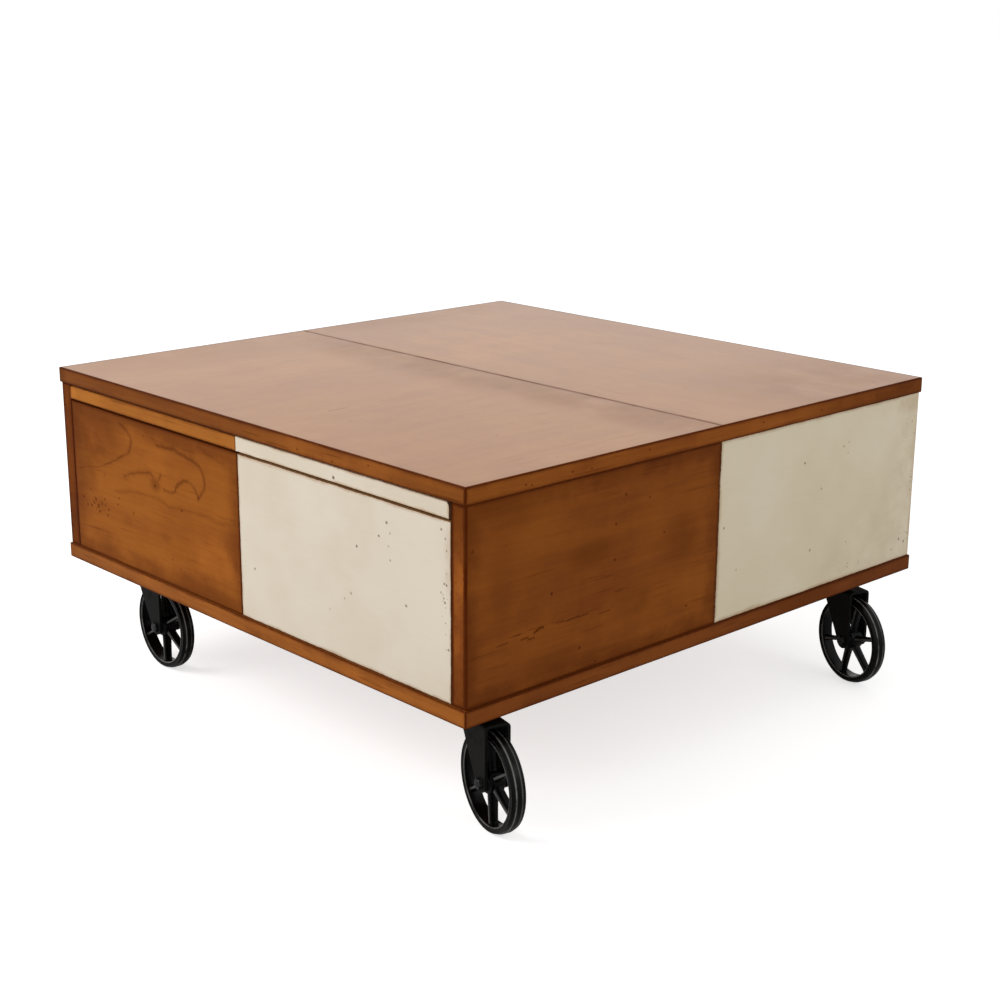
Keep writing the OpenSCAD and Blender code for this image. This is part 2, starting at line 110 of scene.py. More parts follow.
class Signal:
    """A value socket that adds Math nodes when it is used in an expression."""

    def __init__(self, nodes: "Nodes", socket: Socket) -> None:
        """Wraps one output socket of a node tree."""
        self.nodes = nodes
        self.socket = socket

    def op(self, operation: str, *values: Any) -> "Signal":
        """Adds one Math node over the values in order, and wraps its output."""
        made = self.nodes.node("Math", dict(enumerate(values)), operation=operation)
        return Signal(self.nodes, made.outputs[0])

    def __add__(self, other: Any) -> "Signal":
        """Sum."""
        return self.op("ADD", self, other)

    __radd__ = __add__

    def __sub__(self, other: Any) -> "Signal":
        """Difference."""
        return self.op("SUBTRACT", self, other)

    def __rsub__(self, other: Any) -> "Signal":
        """Difference with the signal on the right."""
        return self.op("SUBTRACT", other, self)

    def __mul__(self, other: Any) -> "Signal":
        """Product."""
        return self.op("MULTIPLY", self, other)

    __rmul__ = __mul__

    def __truediv__(self, other: Any) -> "Signal":
        """Quotient."""
        return self.op("DIVIDE", self, other)

    def __rtruediv__(self, other: Any) -> "Signal":
        """Quotient with the signal below."""
        return self.op("DIVIDE", other, self)

    def least(self, other: Any) -> "Signal":
        """The smaller of two values."""
        return self.op("MINIMUM", self, other)

    def most(self, other: Any) -> "Signal":
        """The larger of two values."""
        return self.op("MAXIMUM", self, other)

    def size(self) -> "Signal":
        """Absolute value."""
        return self.op("ABSOLUTE", self)

    def step(self, low: Number, high: Number) -> "Signal":
        """Rises smoothly from 0 at low to 1 at high.

        Args:
            low: value where the result is 0.
            high: value where the result is 1; below low for a fall.

        Returns:
            The smoothed share.
        """
        first, last = (1.0, 0.0) if high < low else (0.0, 1.0)
        made = self.nodes.node(
            "MapRange", {0: self, 1: min(low, high), 2: max(low, high), 3: first, 4: last},
            interpolation_type="SMOOTHSTEP")
        return Signal(self.nodes, made.outputs[0])


class Nodes:
    """A node tree and the one method that fills it."""

    def __init__(self, tree: bpy.types.NodeTree) -> None:
        """Empties the tree."""
        self.tree = tree
        tree.nodes.clear()

    def node(self, kind: str, inputs: Optional[dict[Any, Any]] = None,
             **settings: Any) -> bpy.types.Node:
        """Adds any node, with its settings first and then its sockets.

        Args:
            kind: the node's type name after its first word, ShaderNode.
            inputs: socket name or number to a number, colour, socket or signal.
            settings: attributes of the node.

        Returns:
            The new node.
        """
        made = self.tree.nodes.new("ShaderNode" + kind)
        for key, value in settings.items():
            setattr(made, key, value)
        for key, value in (inputs or {}).items():
            self.feed(made.inputs[key], value)
        return made

    def feed(self, socket: Socket, value: Any) -> None:
        """Links or sets one socket.

        Args:
            socket: the input socket.
            value: a signal, a socket, a number or a colour.
        """
        value = value.socket if isinstance(value, Signal) else value
        if isinstance(value, Socket):
            self.tree.links.new(value, socket)
        else:
            socket.default_value = (*value, 1.0) if socket.type == "RGBA" else value


class Shader(Nodes):
    """A material with one Principled shader, and the helpers that paint it."""

    def __init__(self, name: str) -> None:
        """Starts a material.

        Args:
            name: the material's name.
        """
        self.material = bpy.data.materials.new(name)
        self.material.use_nodes = True
        super().__init__(self.material.node_tree)
        self.surface = self.node("BsdfPrincipled")
        self.out = self.node("OutputMaterial", {0: self.surface.outputs[0]})
        self.place = self.node("TexCoord").outputs["Object"]

    def noise(self, vector: Socket, scale: Number = 1.0, detail: Number = 2.0,
              rough: Number = 0.5, warp: Number = 0.0) -> Signal:
        """Noise between 0 and 1 over a vector.

        Args:
            vector: the coordinates.
            scale: noise cycles per unit.
            detail: extra octaves.
            rough: strength of the octaves.
            warp: how far the noise distorts itself.

        Returns:
            The noise value.
        """
        made = self.node("TexNoise", {"Vector": vector, "Scale": scale, "Detail": detail,
                                      "Roughness": rough, "Distortion": warp})
        return Signal(self, made.outputs[0])

    def pattern(self, scale: Union[Number, Point], shift: Point, *octaves: Number) -> Signal:
        """Noise over object coordinates that are scaled and then shifted.

        Args:
            scale: cycles per metre, one for all axes or one for each.
            shift: offset added after the scale.
            octaves: detail, roughness and distortion, as noise takes them.

        Returns:
            The noise value.
        """
        scale = scale if isinstance(scale, tuple) else (scale, scale, scale)
        spread = self.node("Mapping", {"Vector": self.place, "Location": shift, "Scale": scale})
        return self.noise(spread.outputs[0], 1.0, *octaves)

    def vector(self, operation: str, *values: Any) -> Any:
        """Adds one Vector Math node.

        Args:
            operation: the node's operation.
            values: its inputs in order.

        Returns:
            A signal for a length, distance or dot product, else the vector's socket.
        """
        made = self.node("VectorMath", dict(enumerate(values)), operation=operation).outputs
        number = operation in ("LENGTH", "DISTANCE", "DOT_PRODUCT")
        return Signal(self, made["Value"]) if number else made["Vector"]

    def where(self) -> list[Signal]:
        """The three object coordinates as signals."""
        parts = self.node("SeparateXYZ", {0: self.place}).outputs
        return [Signal(self, part) for part in parts]

    def face(self, normal: Axis) -> Socket:
        """The two coordinates that run over a face, as x and y of a vector in metres."""
        pair = [part for axis, part in enumerate(self.where()) if axis != normal.value]
        return self.node("CombineXYZ", dict(enumerate(pair))).outputs[0]

    def spots(self, face: Socket, scale: Number, radius: Number, share: Number) -> Signal:
        """Scattered round dots: cells of a flat Voronoi pattern, of which a share holds a dot.

        Args:
            face: coordinates on the face in metres.
            scale: cells per metre.
            radius: dot radius in metres.
            share: share of the cells that hold a dot, 0 to 1.

        Returns:
            1 inside a dot, 0 outside.
        """
        cells = self.node("TexVoronoi", {"Vector": face, "Scale": scale},
                          voronoi_dimensions="2D").outputs
        chance, bulk = self.node("SeparateColor", {0: cells["Color"]}).outputs[:2]
        pick = Signal(self, chance).step(share, share - 0.01)
        away = Signal(self, cells["Distance"]) / (Signal(self, bulk) * 0.8 + 0.4)
        return away.step(radius * scale * 1.3, radius * scale * 0.6) * pick

    def blend(self, share: Any, low: Any, high: Any, how: str = "MIX") -> Socket:
        """Mixes two colours, from the first at a share of 0 to the second at 1."""
        made = self.node("Mix", {0: share, 6: low, 7: high}, data_type="RGBA", blend_type=how)
        return made.outputs[2]

    def edge_depth(self, box: Box) -> Signal:
        """Distance in metres from the nearest edge of a box, measured on its faces.

        On a face one of the three distances to the box's sides is nought, so the middle one of the
        three is the distance to the nearest edge.

        Args:
            box: the box.

        Returns:
            The distance.
        """
        parts = self.where()
        if box.folded:
            parts[0] = parts[0].size()
        x, y, z = ((high - low) / 2 - (part - (low + high) / 2).size()
                   for part, low, high in zip(parts, box.low, box.high))
        return x.least(y).most(x.most(y).least(z))

    def bump(self, height: Signal, depth: Number) -> Socket:
        """The normal of a relief whose unit of height is so many metres deep."""
        inputs = {"Strength": 1.0, "Distance": depth, "Height": height}
        return self.node("Bump", inputs).outputs[0]

    def dress(self, **inputs: Any) -> bpy.types.Material:
        """Feeds the Principled shader.

        Args:
            inputs: values by socket name, with underscores for the spaces.

        Returns:
            The material.
        """
        for name, value in inputs.items():
            self.feed(self.surface.inputs[name.replace("_", " ")], value)
        return self.material


# marks


@dataclass(frozen=True)
class Patch:
    """An oval place on a face: its centre and its half widths, in metres."""

    at: Pair
    reach: Pair
    strength: float = 1.0
    core = 0.25  # share of the half widths that has the full strength

    def mask(self, shader: Shader, face: Socket) -> Signal:
        """Paints the oval.

        Args:
            shader: the material being built.
            face: coordinates on the face in metres.

        Returns:
            The strength in the core, falling to 0 at the rim.
        """
        off = shader.vector("SUBTRACT", face, (*self.at, 0.0))
        away = shader.vector("LENGTH", shader.vector("DIVIDE", off, (*self.reach, 1.0)))
        return away.step(1.0, self.core) * self.strength


@dataclass(frozen=True)
class Nick:
    """A single dark hole on a face: its place and radius in metres."""

    at: Pair
    radius: float
    strength: float
    core = 0.625  # share of the radius that has the full strength
    rim = 1.6875  # share of the radius where the hole ends

    def mask(self, shader: Shader, face: Socket) -> Signal:
        """The strength inside the hole, and 0 outside."""
        away = shader.vector("DISTANCE", face, (*self.at, 0.0))
        return away.step(self.radius * self.rim, self.radius * self.core) * self.strength


@dataclass(frozen=True)
class Growth:
    """One growth line on a face: a run of straight pieces, which the finish makes waver.

    Attributes:
        points: corners of the run in metres.
        strength: how dark it is.
        width: half the width of the dark line in metres.
        soft: reach of the softer band beside it in metres.
    """

    points: tuple[Pair, ...]
    strength: float
    width: float
    soft: float
    fade = 2.2  # half widths over which the dark line fades
    band = 0.5  # strength of the softer band beside the line's

    def mask(self, shader: Shader, face: Socket) -> Signal:
        """Darkness of the line, from the distance to its nearest straight piece.

        Args:
            shader: the material being built.
            face: wavering coordinates on the face.

        Returns:
            The strength on the line, 0 off it.
        """
        pieces = []
        for (x, y), stop in zip(self.points, self.points[1:]):
            u, v = stop[0] - x, stop[1] - y
            square = u ** 2 + v ** 2
            off = shader.vector("SUBTRACT", face, (x, y, 0.0))
            share = shader.vector("DOT_PRODUCT", off, (u / square, v / square, 0.0))
            foot = shader.vector("MULTIPLY_ADD", share.least(1.0).most(0.0), (-u, -v, 0.0), off)
            pieces.append(shader.vector("LENGTH", foot))
        away = reduce(Signal.least, pieces)
        soft = away.step(self.soft, 0.0) * self.band
        return away.step(self.width * self.fade, 0.0).most(soft) * self.strength


Patches = tuple[Patch, ...]
Nicks = tuple[Nick, ...]
Lines = tuple[Growth, ...]


def patches(*rows: Row) -> Patches:
    """Patches from rows of millimetres: two places, two half widths, and perhaps strength."""
    return tuple(Patch((u * MM, v * MM), (wide * MM, tall * MM), *rest)
                 for u, v, wide, tall, *rest in rows)


def nicks(*rows: Row) -> Nicks:
    """Nicks from rows of millimetres.

    Args:
        rows: two places, and perhaps radius and strength.

    Returns:
        The nicks, each a little paler than its row says.
    """
    usual, paler = (1.3, 0.85), 0.85
    full = ((*row, *usual[len(row) - 2:]) for row in rows)
    return tuple(Nick((u * MM, v * MM), radius * MM, dark * paler) for u, v, radius, dark in full)


def growth(*places: Pair, strength: float = 0.7, width: float = 1.1, soft: float = 7.0) -> Growth:
    """A growth line with each inner corner cut off a quarter of the way along its sides.

    Args:
        places: corners in millimetres.
        strength: how dark it is.
        width: half the width of the dark line in millimetres.
        soft: reach of the softer band in millimetres.

    Returns:
        The line.
    """
    cut = 0.25
    points = [places[0]]
    for before, at, after in zip(places, places[1:], places[2:]):
        points += [tuple(a * (1 - cut) + b * cut for a, b in zip(at, other))
                   for other in (before, after)]
    points.append(places[-1])
    return Growth(tuple((u * MM, v * MM) for u, v in points), strength, width * MM, soft * MM)


def dashes(*rows: Row, strength: float) -> Lines:
    """Short cracks, a little tilted, from rows of millimetres: their middle and half length."""
    tilt = 0.08
    return tuple(growth((u - half, v), (u + half, v + half * tilt), strength=strength, width=0.8,
                        soft=2.6) for u, v, half in rows)


# finishes


@dataclass(frozen=True)
class Layers:
    """What a finish paints: colour, roughness, height, and the share left bare of polish."""

    colour: Socket
    rough: Signal
    height: Signal
    bare: Any = 0.0


@dataclass(frozen=True)
class Finish:
    """What all finishes share; each kind paints its own layers."""

    slot: ClassVar[str]  # material slot
    coat_rough: ClassVar[float] = 0.24
    grain: Axis = Axis.X  # axis along which the grain runs
    shift: Point = (0.0, 0.0, 0.0)  # offset that gives each piece its own pattern
    sheen: float = 0.5  # strength of the reflection
    metal: float = 0.0  # 1 for bare metal
    relief: float = 0.0003  # depth in metres of one unit of height
    polish: float = 0.0  # refraction of a polish that is thinner on dark places; 0 for none

    def grained(self, shader: Shader, along: float, across: float, *octaves: float) -> Signal:
        """Noise with its own cycles per metre along the grain and across it."""
        scale = tuple(along if axis == self.grain.value else across for axis in range(3))
        return shader.pattern(scale, self.shift, *octaves)

    def layers(self, shader: Shader, box: Box) -> Layers:
        """Paints one piece.

        Args:
            shader: the material being built.
            box: the box whose edges are darkened or rubbed.

        Returns:
            The layers.
        """
        raise NotImplementedError

    def material(self, name: str, box: Optional[Box] = None) -> bpy.types.Material:
        """Feeds the layers into a new material.

        Args:
            name: the material's name.
            box: the box whose edges are darkened or rubbed, where the finish has edges.

        Returns:
            The material.
        """
        shader = Shader(name)
        made = self.layers(shader, box)
        if self.polish:
            shader.dress(Coat_Weight=1.0 - made.bare, Coat_IOR=self.polish,
                         Coat_Roughness=self.coat_rough)
        return shader.dress(Base_Color=made.colour, Roughness=made.rough, Metallic=self.metal,
                            Specular_IOR_Level=self.sheen,
                            Normal=shader.bump(made.height, self.relief))


@dataclass(frozen=True)
class StainedCherry(Finish):
    """Cherry wood with an antique stain, darkened along its edges, waxed and a little worn."""

    slot = "cherry_wood"
    dark_tint = (0.42, 0.33, 0.18)  # of flecks, growth lines, clouds and painted shade
    light_tint = (1.30, 1.34, 1.40)  # of lighter places
    edge_tint = (0.34, 0.22, 0.16)  # of the soft darkening from the edges: glaze and painted shade
    trace = 1e-6  # share of the lines before it that a line's coordinates carry
    sheen: float = 0.02
    light: Colour = linear(165, 95, 32)  # stain on the lightest parts
    deep: Colour = linear(136, 71, 24)  # stain on the darkest parts
    glaze: Colour = linear(74, 25, 1)  # dark line along the edges
    line: float = 0.0026  # width of that line in metres
    halo: float = 0.035  # reach in metres of the soft darkening from the edges: glaze, with painted shade under the slabs and in the joints
    halo_depth: float = 0.45  # strength of that darkening
    near_shade: float = 0.010  # reach in metres of the painted shade next to the line
    near_shade_depth: float = 0.75  # strength of that painted shade
    fibre: float = 0.35  # strength of the fine streaks
    holes: float = 0.05  # share of the cells that hold a worm hole
    gloss: float = 0.32  # roughness of the wax
    waver: float = 0.012  # how far the growth lines waver in metres
    face: Optional[Axis] = None  # axis across the marked face; the thinnest by default
    lines: Lines = ()  # growth lines and cracks
    wormed: Patches = ()  # clusters of worm holes
    cracks: Patches = ()  # fine cracks along the grain
    clouds_and_shade: Patches = ()  # darker places: clouds in the stain, and painted shade
    glows: Patches = ()  # lighter places: tone of the stain, and painted highlights
    strong: Patches = ()  # places where the line along the edges is wider
    holes_at: Nicks = ()  # single holes

    def figure(self, shader: Shader, face: Socket) -> Signal:
        """Growth lines over coordinates that waver slowly, each fading in and out.

        Each line's coordinates carry a trace of the lines before it in their third number, so
        that the renderer works the lines out one after another and not all at once.

        Args:
            shader: the material being built.
            face: coordinates on the face in metres.

        Returns:
            The darkness of the lines.
        """
        sway = shader.node("TexNoise", {"Vector": face, "Scale": 24.0, "Detail": 4.0,
                                        "Roughness": 0.6}).outputs["Color"]
        start = shader.vector("SUBTRACT", face, (self.waver / 2, self.waver / 2, 0.0))
        bent = shader.vector("MULTIPLY_ADD", sway, (self.waver, self.waver, 0.0), start)
        total = self.lines[0].mask(shader, bent)
        for line in self.lines[1:]:
            after = shader.vector("MULTIPLY_ADD", total, (0.0, 0.0, self.trace), bent)
            total = total.most(line.mask(shader, after))
        return total * (shader.noise(face, 42.0).step(0.25, 0.6) * 0.5 + 0.55)

    def damage(self, shader: Shader, face: Socket) -> Signal:
        """Holes and cracks: scattered dots, clusters, threads of cracks and single nicks.

        Args:
            shader: the material being built.
            face: coordinates on the face in metres.

        Returns:
            The darkness of the damage.
        """
        large = shader.spots(face, 19.0, 0.0012, self.holes)
        marks = [large.most(shader.spots(face, 47.0, 0.0007, self.holes * 1.2)) * 0.75]
        marks += [shader.spots(face, 260.0, 0.0009, 0.45) * place.mask(shader, face)
                  for place in self.wormed]
        if self.cracks:
            threads = self.grained(shader, 26.0, 330.0).step(0.57, 0.66)
            marks += [threads * place.mask(shader, face) for place in self.cracks]
        return reduce(Signal.most, marks + [nick.mask(shader, face) for nick in self.holes_at])

    def layers(self, shader: Shader, box: Box) -> Layers:
        """Stains one board.

        Tone is the sum of a slow cloud, a mottle, streaks and fibres, each a noise stretched along
        the grain. The edges darken by their distance, which the mottle breaks up.

        Args:
            shader: the material being built.
            box: the box whose edges take the glaze.

        Returns:
            The layers.
        """
        face = shader.face(self.face or box.thinnest())
        cloud = self.grained(shader, 2.2, 8.0, 3.0, 0.6, 0.3)
        mottle = self.grained(shader, 13.0, 13.0, 4.0, 0.65)
        streak = self.grained(shader, 5.0, 95.0, 3.0, 0.65)
        fine = self.grained(shader, 18.0, 480.0, 2.0, 0.6)
        tone = (cloud.step(0.3, 0.7) * 0.45 + mottle.step(0.3, 0.75) * 0.35
                + streak.step(0.2, 0.8) * self.fibre + fine.step(0.2, 0.85) * self.fibre * 0.4)
        colour = shader.blend(tone, self.deep, self.light)
        shade = self.grained(shader, 11.0, 210.0).step(0.6, 0.74) * self.fibre
        for place in self.clouds_and_shade:
            shade = shade.most(place.mask(shader, face) * mottle.step(0.25, 0.65))
        if self.lines:
            shade = shade.most(self.figure(shader, face))
        colour = shader.blend(shade, colour, self.dark_tint, "MULTIPLY")
        for place in self.glows:
            lit = place.mask(shader, face) * mottle.step(0.15, 0.7)
            colour = shader.blend(lit, colour, self.light_tint, "MULTIPLY")
        # soft darkening from the edges: glaze, and painted shade under the slabs, in the joints and
        # on round edges
        depth = shader.edge_depth(box)
        halo = (depth + (mottle - 0.5) * self.halo * 1.4).step(self.halo, 0.0) * self.halo_depth
        near = (depth + (mottle - 0.5) * self.near_shade).step(self.near_shade, 0.0) * self.near_shade_depth
        colour = shader.blend(halo.most(near), colour, self.edge_tint, "MULTIPLY")
        for place in self.strong:
            depth = depth - place.mask(shader, face) * self.line
        ragged = shader.pattern(190.0, self.shift)
        worn = (depth + (ragged - 0.5) * self.line * 1.5).step(self.line * 1.5, self.line * 0.1)
        worn = worn * (mottle.step(0.38, 0.62) * 0.4 + 0.6)
        dark = worn.most(self.damage(shader, face))
        return Layers(shader.blend(dark * 0.92, colour, self.glaze),
                      (1.0 - tone) * 0.08 + mottle * 0.08 + dark * 0.2 + self.gloss,
                      fine * 0.10 + streak * 0.12 + mottle * 0.3 - dark * 0.8,
                      (dark * 0.7).most(shade * 0.45))


@dataclass(frozen=True)
class CreamPaint(Finish):
    """Old cream paint, brushed on, rubbed brown along its edges and speckled."""

    slot = "cream_paint"
    sheen: float = 0.2
    paint: Colour = linear(229, 217, 199)  # the paint itself
    shade: Colour = linear(216, 202, 179)  # faint brush marks and patches
    rubbed: Colour = linear(172, 128, 78)  # soft rubbing along the edges; also the painted shade inside a gap
    glaze: Colour = linear(84, 60, 32)  # specks
    edge: Colour = linear(96, 56, 24)  # line along the edges
    line: float = 0.0009  # width of that line in metres
    rub: float = 0.006  # reach of the rubbing in metres
    specks: float = 0.02  # share of the cells that hold a speck
    gap_shade: float = 0.0  # height in metres of the strip along the upper edge, inside a gap, that takes painted shade
    ends: float = 0.0  # how far the sides that look along X are worn to the brown
    face: Optional[Axis] = None  # axis across the painted face; the thinnest by default
    speckled: Patches = ()  # clusters of specks
    stained: Patches = ()  # places rubbed tan
    holes_at: Nicks = ()  # single specks

    def layers(self, shader: Shader, box: Box) -> Layers:
        """Paints one board: brush marks and patches, then the rubbing, the edge line and specks.

        Args:
            shader: the material being built.
            box: the box whose edges are rubbed.

        Returns:
            The layers.
        """
        face = shader.face(self.face or box.thinnest())
        brush = shader.pattern((24.0, 24.0, 300.0), self.shift, 2.0, 0.6)
        cloud = shader.pattern(6.0, self.shift, 3.0, 0.6)
        drift = shader.pattern(20.0, self.shift, 3.0, 0.6)
        ragged = shader.pattern(240.0, self.shift, 3.0, 0.7)
        colour = shader.blend(cloud.step(0.3, 0.8) * 0.7 + brush.step(0.3, 0.9) * 0.15,
                              self.paint, self.shade)
        depth = shader.edge_depth(box)
        wander = (drift - 0.5) * self.rub * 2.2 + (ragged - 0.5) * 0.001
        rub = (depth + wander).step(self.rub, 0.0) * 0.5
        for place in self.stained:
            rub = rub.most(place.mask(shader, face) * drift.step(0.3, 0.7))
        colour = shader.blend(rub, colour, self.rubbed)
        wander = (ragged - 0.5) * self.line * 1.6 + (drift - 0.5) * self.line * 2.0
        worn = (depth + wander).step(self.line * 1.2, self.line * 0.3)
        marks = [shader.spots(face, 17.0, 0.0010, self.specks)]
        marks += [shader.spots(face, 150.0, 0.0013, 0.34) * place.mask(shader, face) * 0.6
                  for place in self.speckled]
        dark = reduce(Signal.most, marks + [nick.mask(shader, face) for nick in self.holes_at])
        # painted shade: the upper edge inside the gap takes the darker tan
        if self.gap_shade:
            top = shader.where()[2].step(box.high[2] - self.gap_shade, box.high[2])
            colour = shader.blend(top, colour, self.rubbed)
        if self.ends:
            facing = shader.node("NewGeometry").outputs["True Normal"]
            along = shader.vector("DOT_PRODUCT", facing, (1.0, 0.0, 0.0)).size()
            worn = worn.most(along.step(0.2, 0.6) * self.ends)
        colour = shader.blend(dark, shader.blend(worn, colour, self.edge), self.glaze)
        dark = dark.most(worn)
        return Layers(colour, 0.40 + cloud * 0.12 + dark * 0.15,
                      brush * 0.15 + cloud * 0.3 - dark)


@dataclass(frozen=True)
class TwoTone(Finish):
    """Stained wood on one side of the middle plane and cream paint on the other."""

    slot = "strip_cherry"
    seam = 0.0003  # half the width in metres over which one passes into the other
    sheen: float = 0.03
    wood: StainedCherry = StainedCherry()
    cream: CreamPaint = CreamPaint()

    def layers(self, shader: Shader, box: Box) -> Layers:
        """Paints both halves, whose edge lines come from one half's box, folded over the other.

        Args:
            shader: the material being built.
            box: the whole piece's box.

        Returns:
            The layers.
        """
        half = Box((0.0, *box.low[1:]), box.high, folded=True)
        wood, cream = (kind.layers(shader, half) for kind in (self.wood, self.cream))
        side = shader.where()[0].step(-self.seam, self.seam)
        return Layers(shader.blend(side, wood.colour, cream.colour),
                      wood.rough * (1.0 - side) + cream.rough * side,
                      wood.height * (1.0 - side) + cream.height * side)


@dataclass(frozen=True)
class PlainBeech(Finish):
    """Pale unstained wood of the parts inside the case."""

    slot = "plain_beech"
    grain: Axis = Axis.Y
    relief: float = 0.0002
    light: Colour = linear(205, 172, 128)
    deep: Colour = linear(176, 138, 94)
    fleck: Colour = linear(132, 92, 56)
    handled: Colour = linear(140, 104, 68)  # edges, darker from handling

    def layers(self, shader: Shader, box: Box) -> Layers:
        """Slow bands and short dark flecks along the grain, with darker edges.

        Args:
            shader: the material being built.
            box: the piece's box.

        Returns:
            The layers.
        """
        slow = self.grained(shader, 2.0, 46.0, 3.0, 0.6)
        fleck = self.grained(shader, 60.0, 700.0, 1.0).step(0.62, 0.75)
        colour = shader.blend(slow.step(0.3, 0.75), self.deep, self.light)
        colour = shader.blend(fleck * 0.35, colour, self.fleck)
        near = shader.edge_depth(box).step(0.004, 0.0) * 0.3
        return Layers(shader.blend(near, colour, self.handled), slow * 0.15 + 0.5,
                      slow * 0.6 - fleck * 0.4)


@dataclass(frozen=True)
class BlackIron(Finish):
    """Cast and pressed iron under black enamel, with painted highlights from the mesh's own
    attribute.
    """

    slot = "black_iron"
    sheen: float = 0.10
    relief: float = 0.00012
    tone: Colour = linear(4, 4, 5)  # the enamel
    dust: Colour = linear(26, 25, 24)
    bare: Colour = linear(150, 148, 144)  # painted highlight on the rim's edges and the spokes' crests
    gloss: float = 0.2  # roughness of the enamel
    grit: float = 0.0016  # size of the casting's grain in metres

    def layers(self, shader: Shader, box: Optional[Box]) -> Layers:
        """Cast grain under the enamel, dusty patches and painted highlights over it.

        Args:
            shader: the material being built.
            box: unused, the enamel is the same all over.

        Returns:
            The layers.
        """
        grain = shader.noise(shader.place, 1.0 / self.grit, 2.0, 0.6)
        patch = shader.noise(shader.place, 38.0, 3.0, 0.6)
        dust = patch.step(0.5, 0.8)
        # painted highlights along the rim's edges and the spokes' crests, broken up by the patches
        own = shader.node("Attribute", attribute_name="painted_highlight").outputs["Fac"]
        painted_highlight = patch.step(0.25, 0.6) * own
        colour = shader.blend(dust * 0.25, self.tone, self.dust)
        return Layers(shader.blend(painted_highlight, colour, self.bare),
                      grain * 0.08 + dust * 0.22 + self.gloss, grain)


@dataclass(frozen=True)
class DullSteel(Finish):
    """Darkened steel of the bolts, screws and pins."""

    slot = "zinc_steel"
    metal: float = 0.85
    relief: float = 0.00005
    tone: Colour = linear(52, 52, 54)
    tarnish: Colour = linear(24, 23, 23)

    def layers(self, shader: Shader, box: Optional[Box]) -> Layers:
        """Fine scratches and darker patches.

        Args:
            shader: the material being built.
            box: unused, the steel is the same all over.

        Returns:
            The layers.
        """
        patch = shader.noise(shader.place, 180.0, 3.0, 0.65)
        colour = shader.blend(patch.step(0.4, 0.75), self.tone, self.tarnish)
        return Layers(colour, patch * 0.25 + 0.28, shader.noise(shader.place, 1400.0, 1.0))


# surfaces


def moved(points: np.ndarray, place: Matrix) -> np.ndarray:
    """Points after a placing matrix."""
    matrix = np.array(place)
    return points @ matrix[:3, :3].T + matrix[:3, 3]


def points_of(mesh: bpy.types.Mesh) -> np.ndarray:
    """The places of a mesh's vertices, one row each.

    Args:
        mesh: the mesh.

    Returns:
        Array of shape (vertices, 3).
    """
    at = np.zeros(len(mesh.vertices) * 3)
    mesh.vertices.foreach_get("co", at)
    return at.reshape(-1, 3)


def linked(name: str, mesh: bpy.types.Mesh) -> Object:
    """A new object of a mesh, at the origin of the scene.

    Args:
        name: the object's name.
        mesh: its mesh.

    Returns:
        The object.
    """
    made = bpy.data.objects.new(name, mesh)
    bpy.context.scene.collection.objects.link(made)
    return made


@dataclass
class Surface:
    """Points and faces gathered from several closed shells, made into one object."""

    points: list[np.ndarray] = field(default_factory=list)
    faces: list[np.ndarray] = field(default_factory=list)
    caps: list[list[int]] = field(default_factory=list)
    count: int = 0

    def grid(self, points: np.ndarray, close_u: bool = False, close_v: bool = False) -> None:
        """Adds a grid of points as quads.

        Args:
            points: array of shape (rows, columns, 3).
            close_u: joins the last row to the first.
            close_v: joins the last column to the first.
        """
        rows, columns = points.shape[:2]
        index = np.arange(rows * columns).reshape(rows, columns)
        if close_u:
            index = np.vstack([index, index[:1]])
        if close_v:
            index = np.hstack([index, index[:, :1]])
        quads = np.stack([index[:-1, :-1], index[1:, :-1], index[1:, 1:], index[:-1, 1:]], -1)
        self.points.append(points.reshape(-1, 3))
        self.faces.append(quads.reshape(-1, 4) + self.count)
        self.count += rows * columns

    def tube(self, points: np.ndarray) -> None:
        """Adds a grid whose rows are closed loops, with a face over the first and the last.

        Args:
            points: array of shape (rows, loop, 3).
        """
        first, (rows, loop) = self.count, points.shape[:2]
        self.grid(points, close_v=True)
        self.caps.append(list(range(first, first + loop)))
        last = first + (rows - 1) * loop
        self.caps.append(list(range(last + loop - 1, last - 1, -1)))

    def build(self, name: str, merge: float = 1e-6, smooth: float = 40.0,
              mend: bool = True) -> Object:
        """Makes the object, with doubles merged and faces pointing outwards.

        Args:
            name: the object's name.
            merge: distance in metres under which points become one.
            smooth: angle in degrees above which an edge stays sharp.
            mend: recalculates the normals of the closed shells.

        Returns:
            The object at the origin.
        """
        mesh = bpy.data.meshes.new(name)
        quads = np.vstack(self.faces).tolist()
        mesh.from_pydata(np.vstack(self.points).tolist(), [], quads + self.caps)
        work = bmesh.new()
        work.from_mesh(mesh)
        bmesh.ops.remove_doubles(work, verts=work.verts, dist=merge)
        bmesh.ops.dissolve_degenerate(work, edges=work.edges, dist=merge)
        if mend:
            bmesh.ops.recalc_face_normals(work, faces=work.faces)
        work.to_mesh(mesh)
        work.free()
        mesh.shade_smooth()
        mesh.set_sharp_from_angle(angle=math.radians(smooth))
        return linked(name, mesh)


def arc_steps(low: float, high: float, radius: float) -> np.ndarray:
    """Samples one side of a box so that its rounded ends turn by equal angles.

    Near each end the distance in from the side is the radius times one less the tangent of an
    angle that runs from 45 degrees to nought.

    Args:
        low: start of the side.
        high: end of the side.
        radius: rounding at both ends.

    Returns:
        The samples in rising order.
    """
    turn = radius * (1.0 - np.tan(np.radians(np.linspace(45.0, 0.0, 4))))
    return np.concatenate([low + turn, (high - turn)[::-1]])


def rounded(points: np.ndarray, low: np.ndarray, high: np.ndarray, radius: float) -> np.ndarray:
    """Pulls points of a box's skin onto the same box with rounded edges.

    Each point moves to the inner box, smaller by the radius, plus the radius along the direction
    from the inner box to the point.

    Args:
        points: points on the sharp box, any leading shape.
        low: lowest corner.
        high: highest corner.
        radius: rounding of the edges.

    Returns:
        The moved points.
    """
    inner = np.clip(points, low + radius, high - radius)
    away = points - inner
    length = np.linalg.norm(away, axis=-1, keepdims=True)
    return np.where(length > 1e-9, inner + radius * away / np.maximum(length, 1e-9), points)


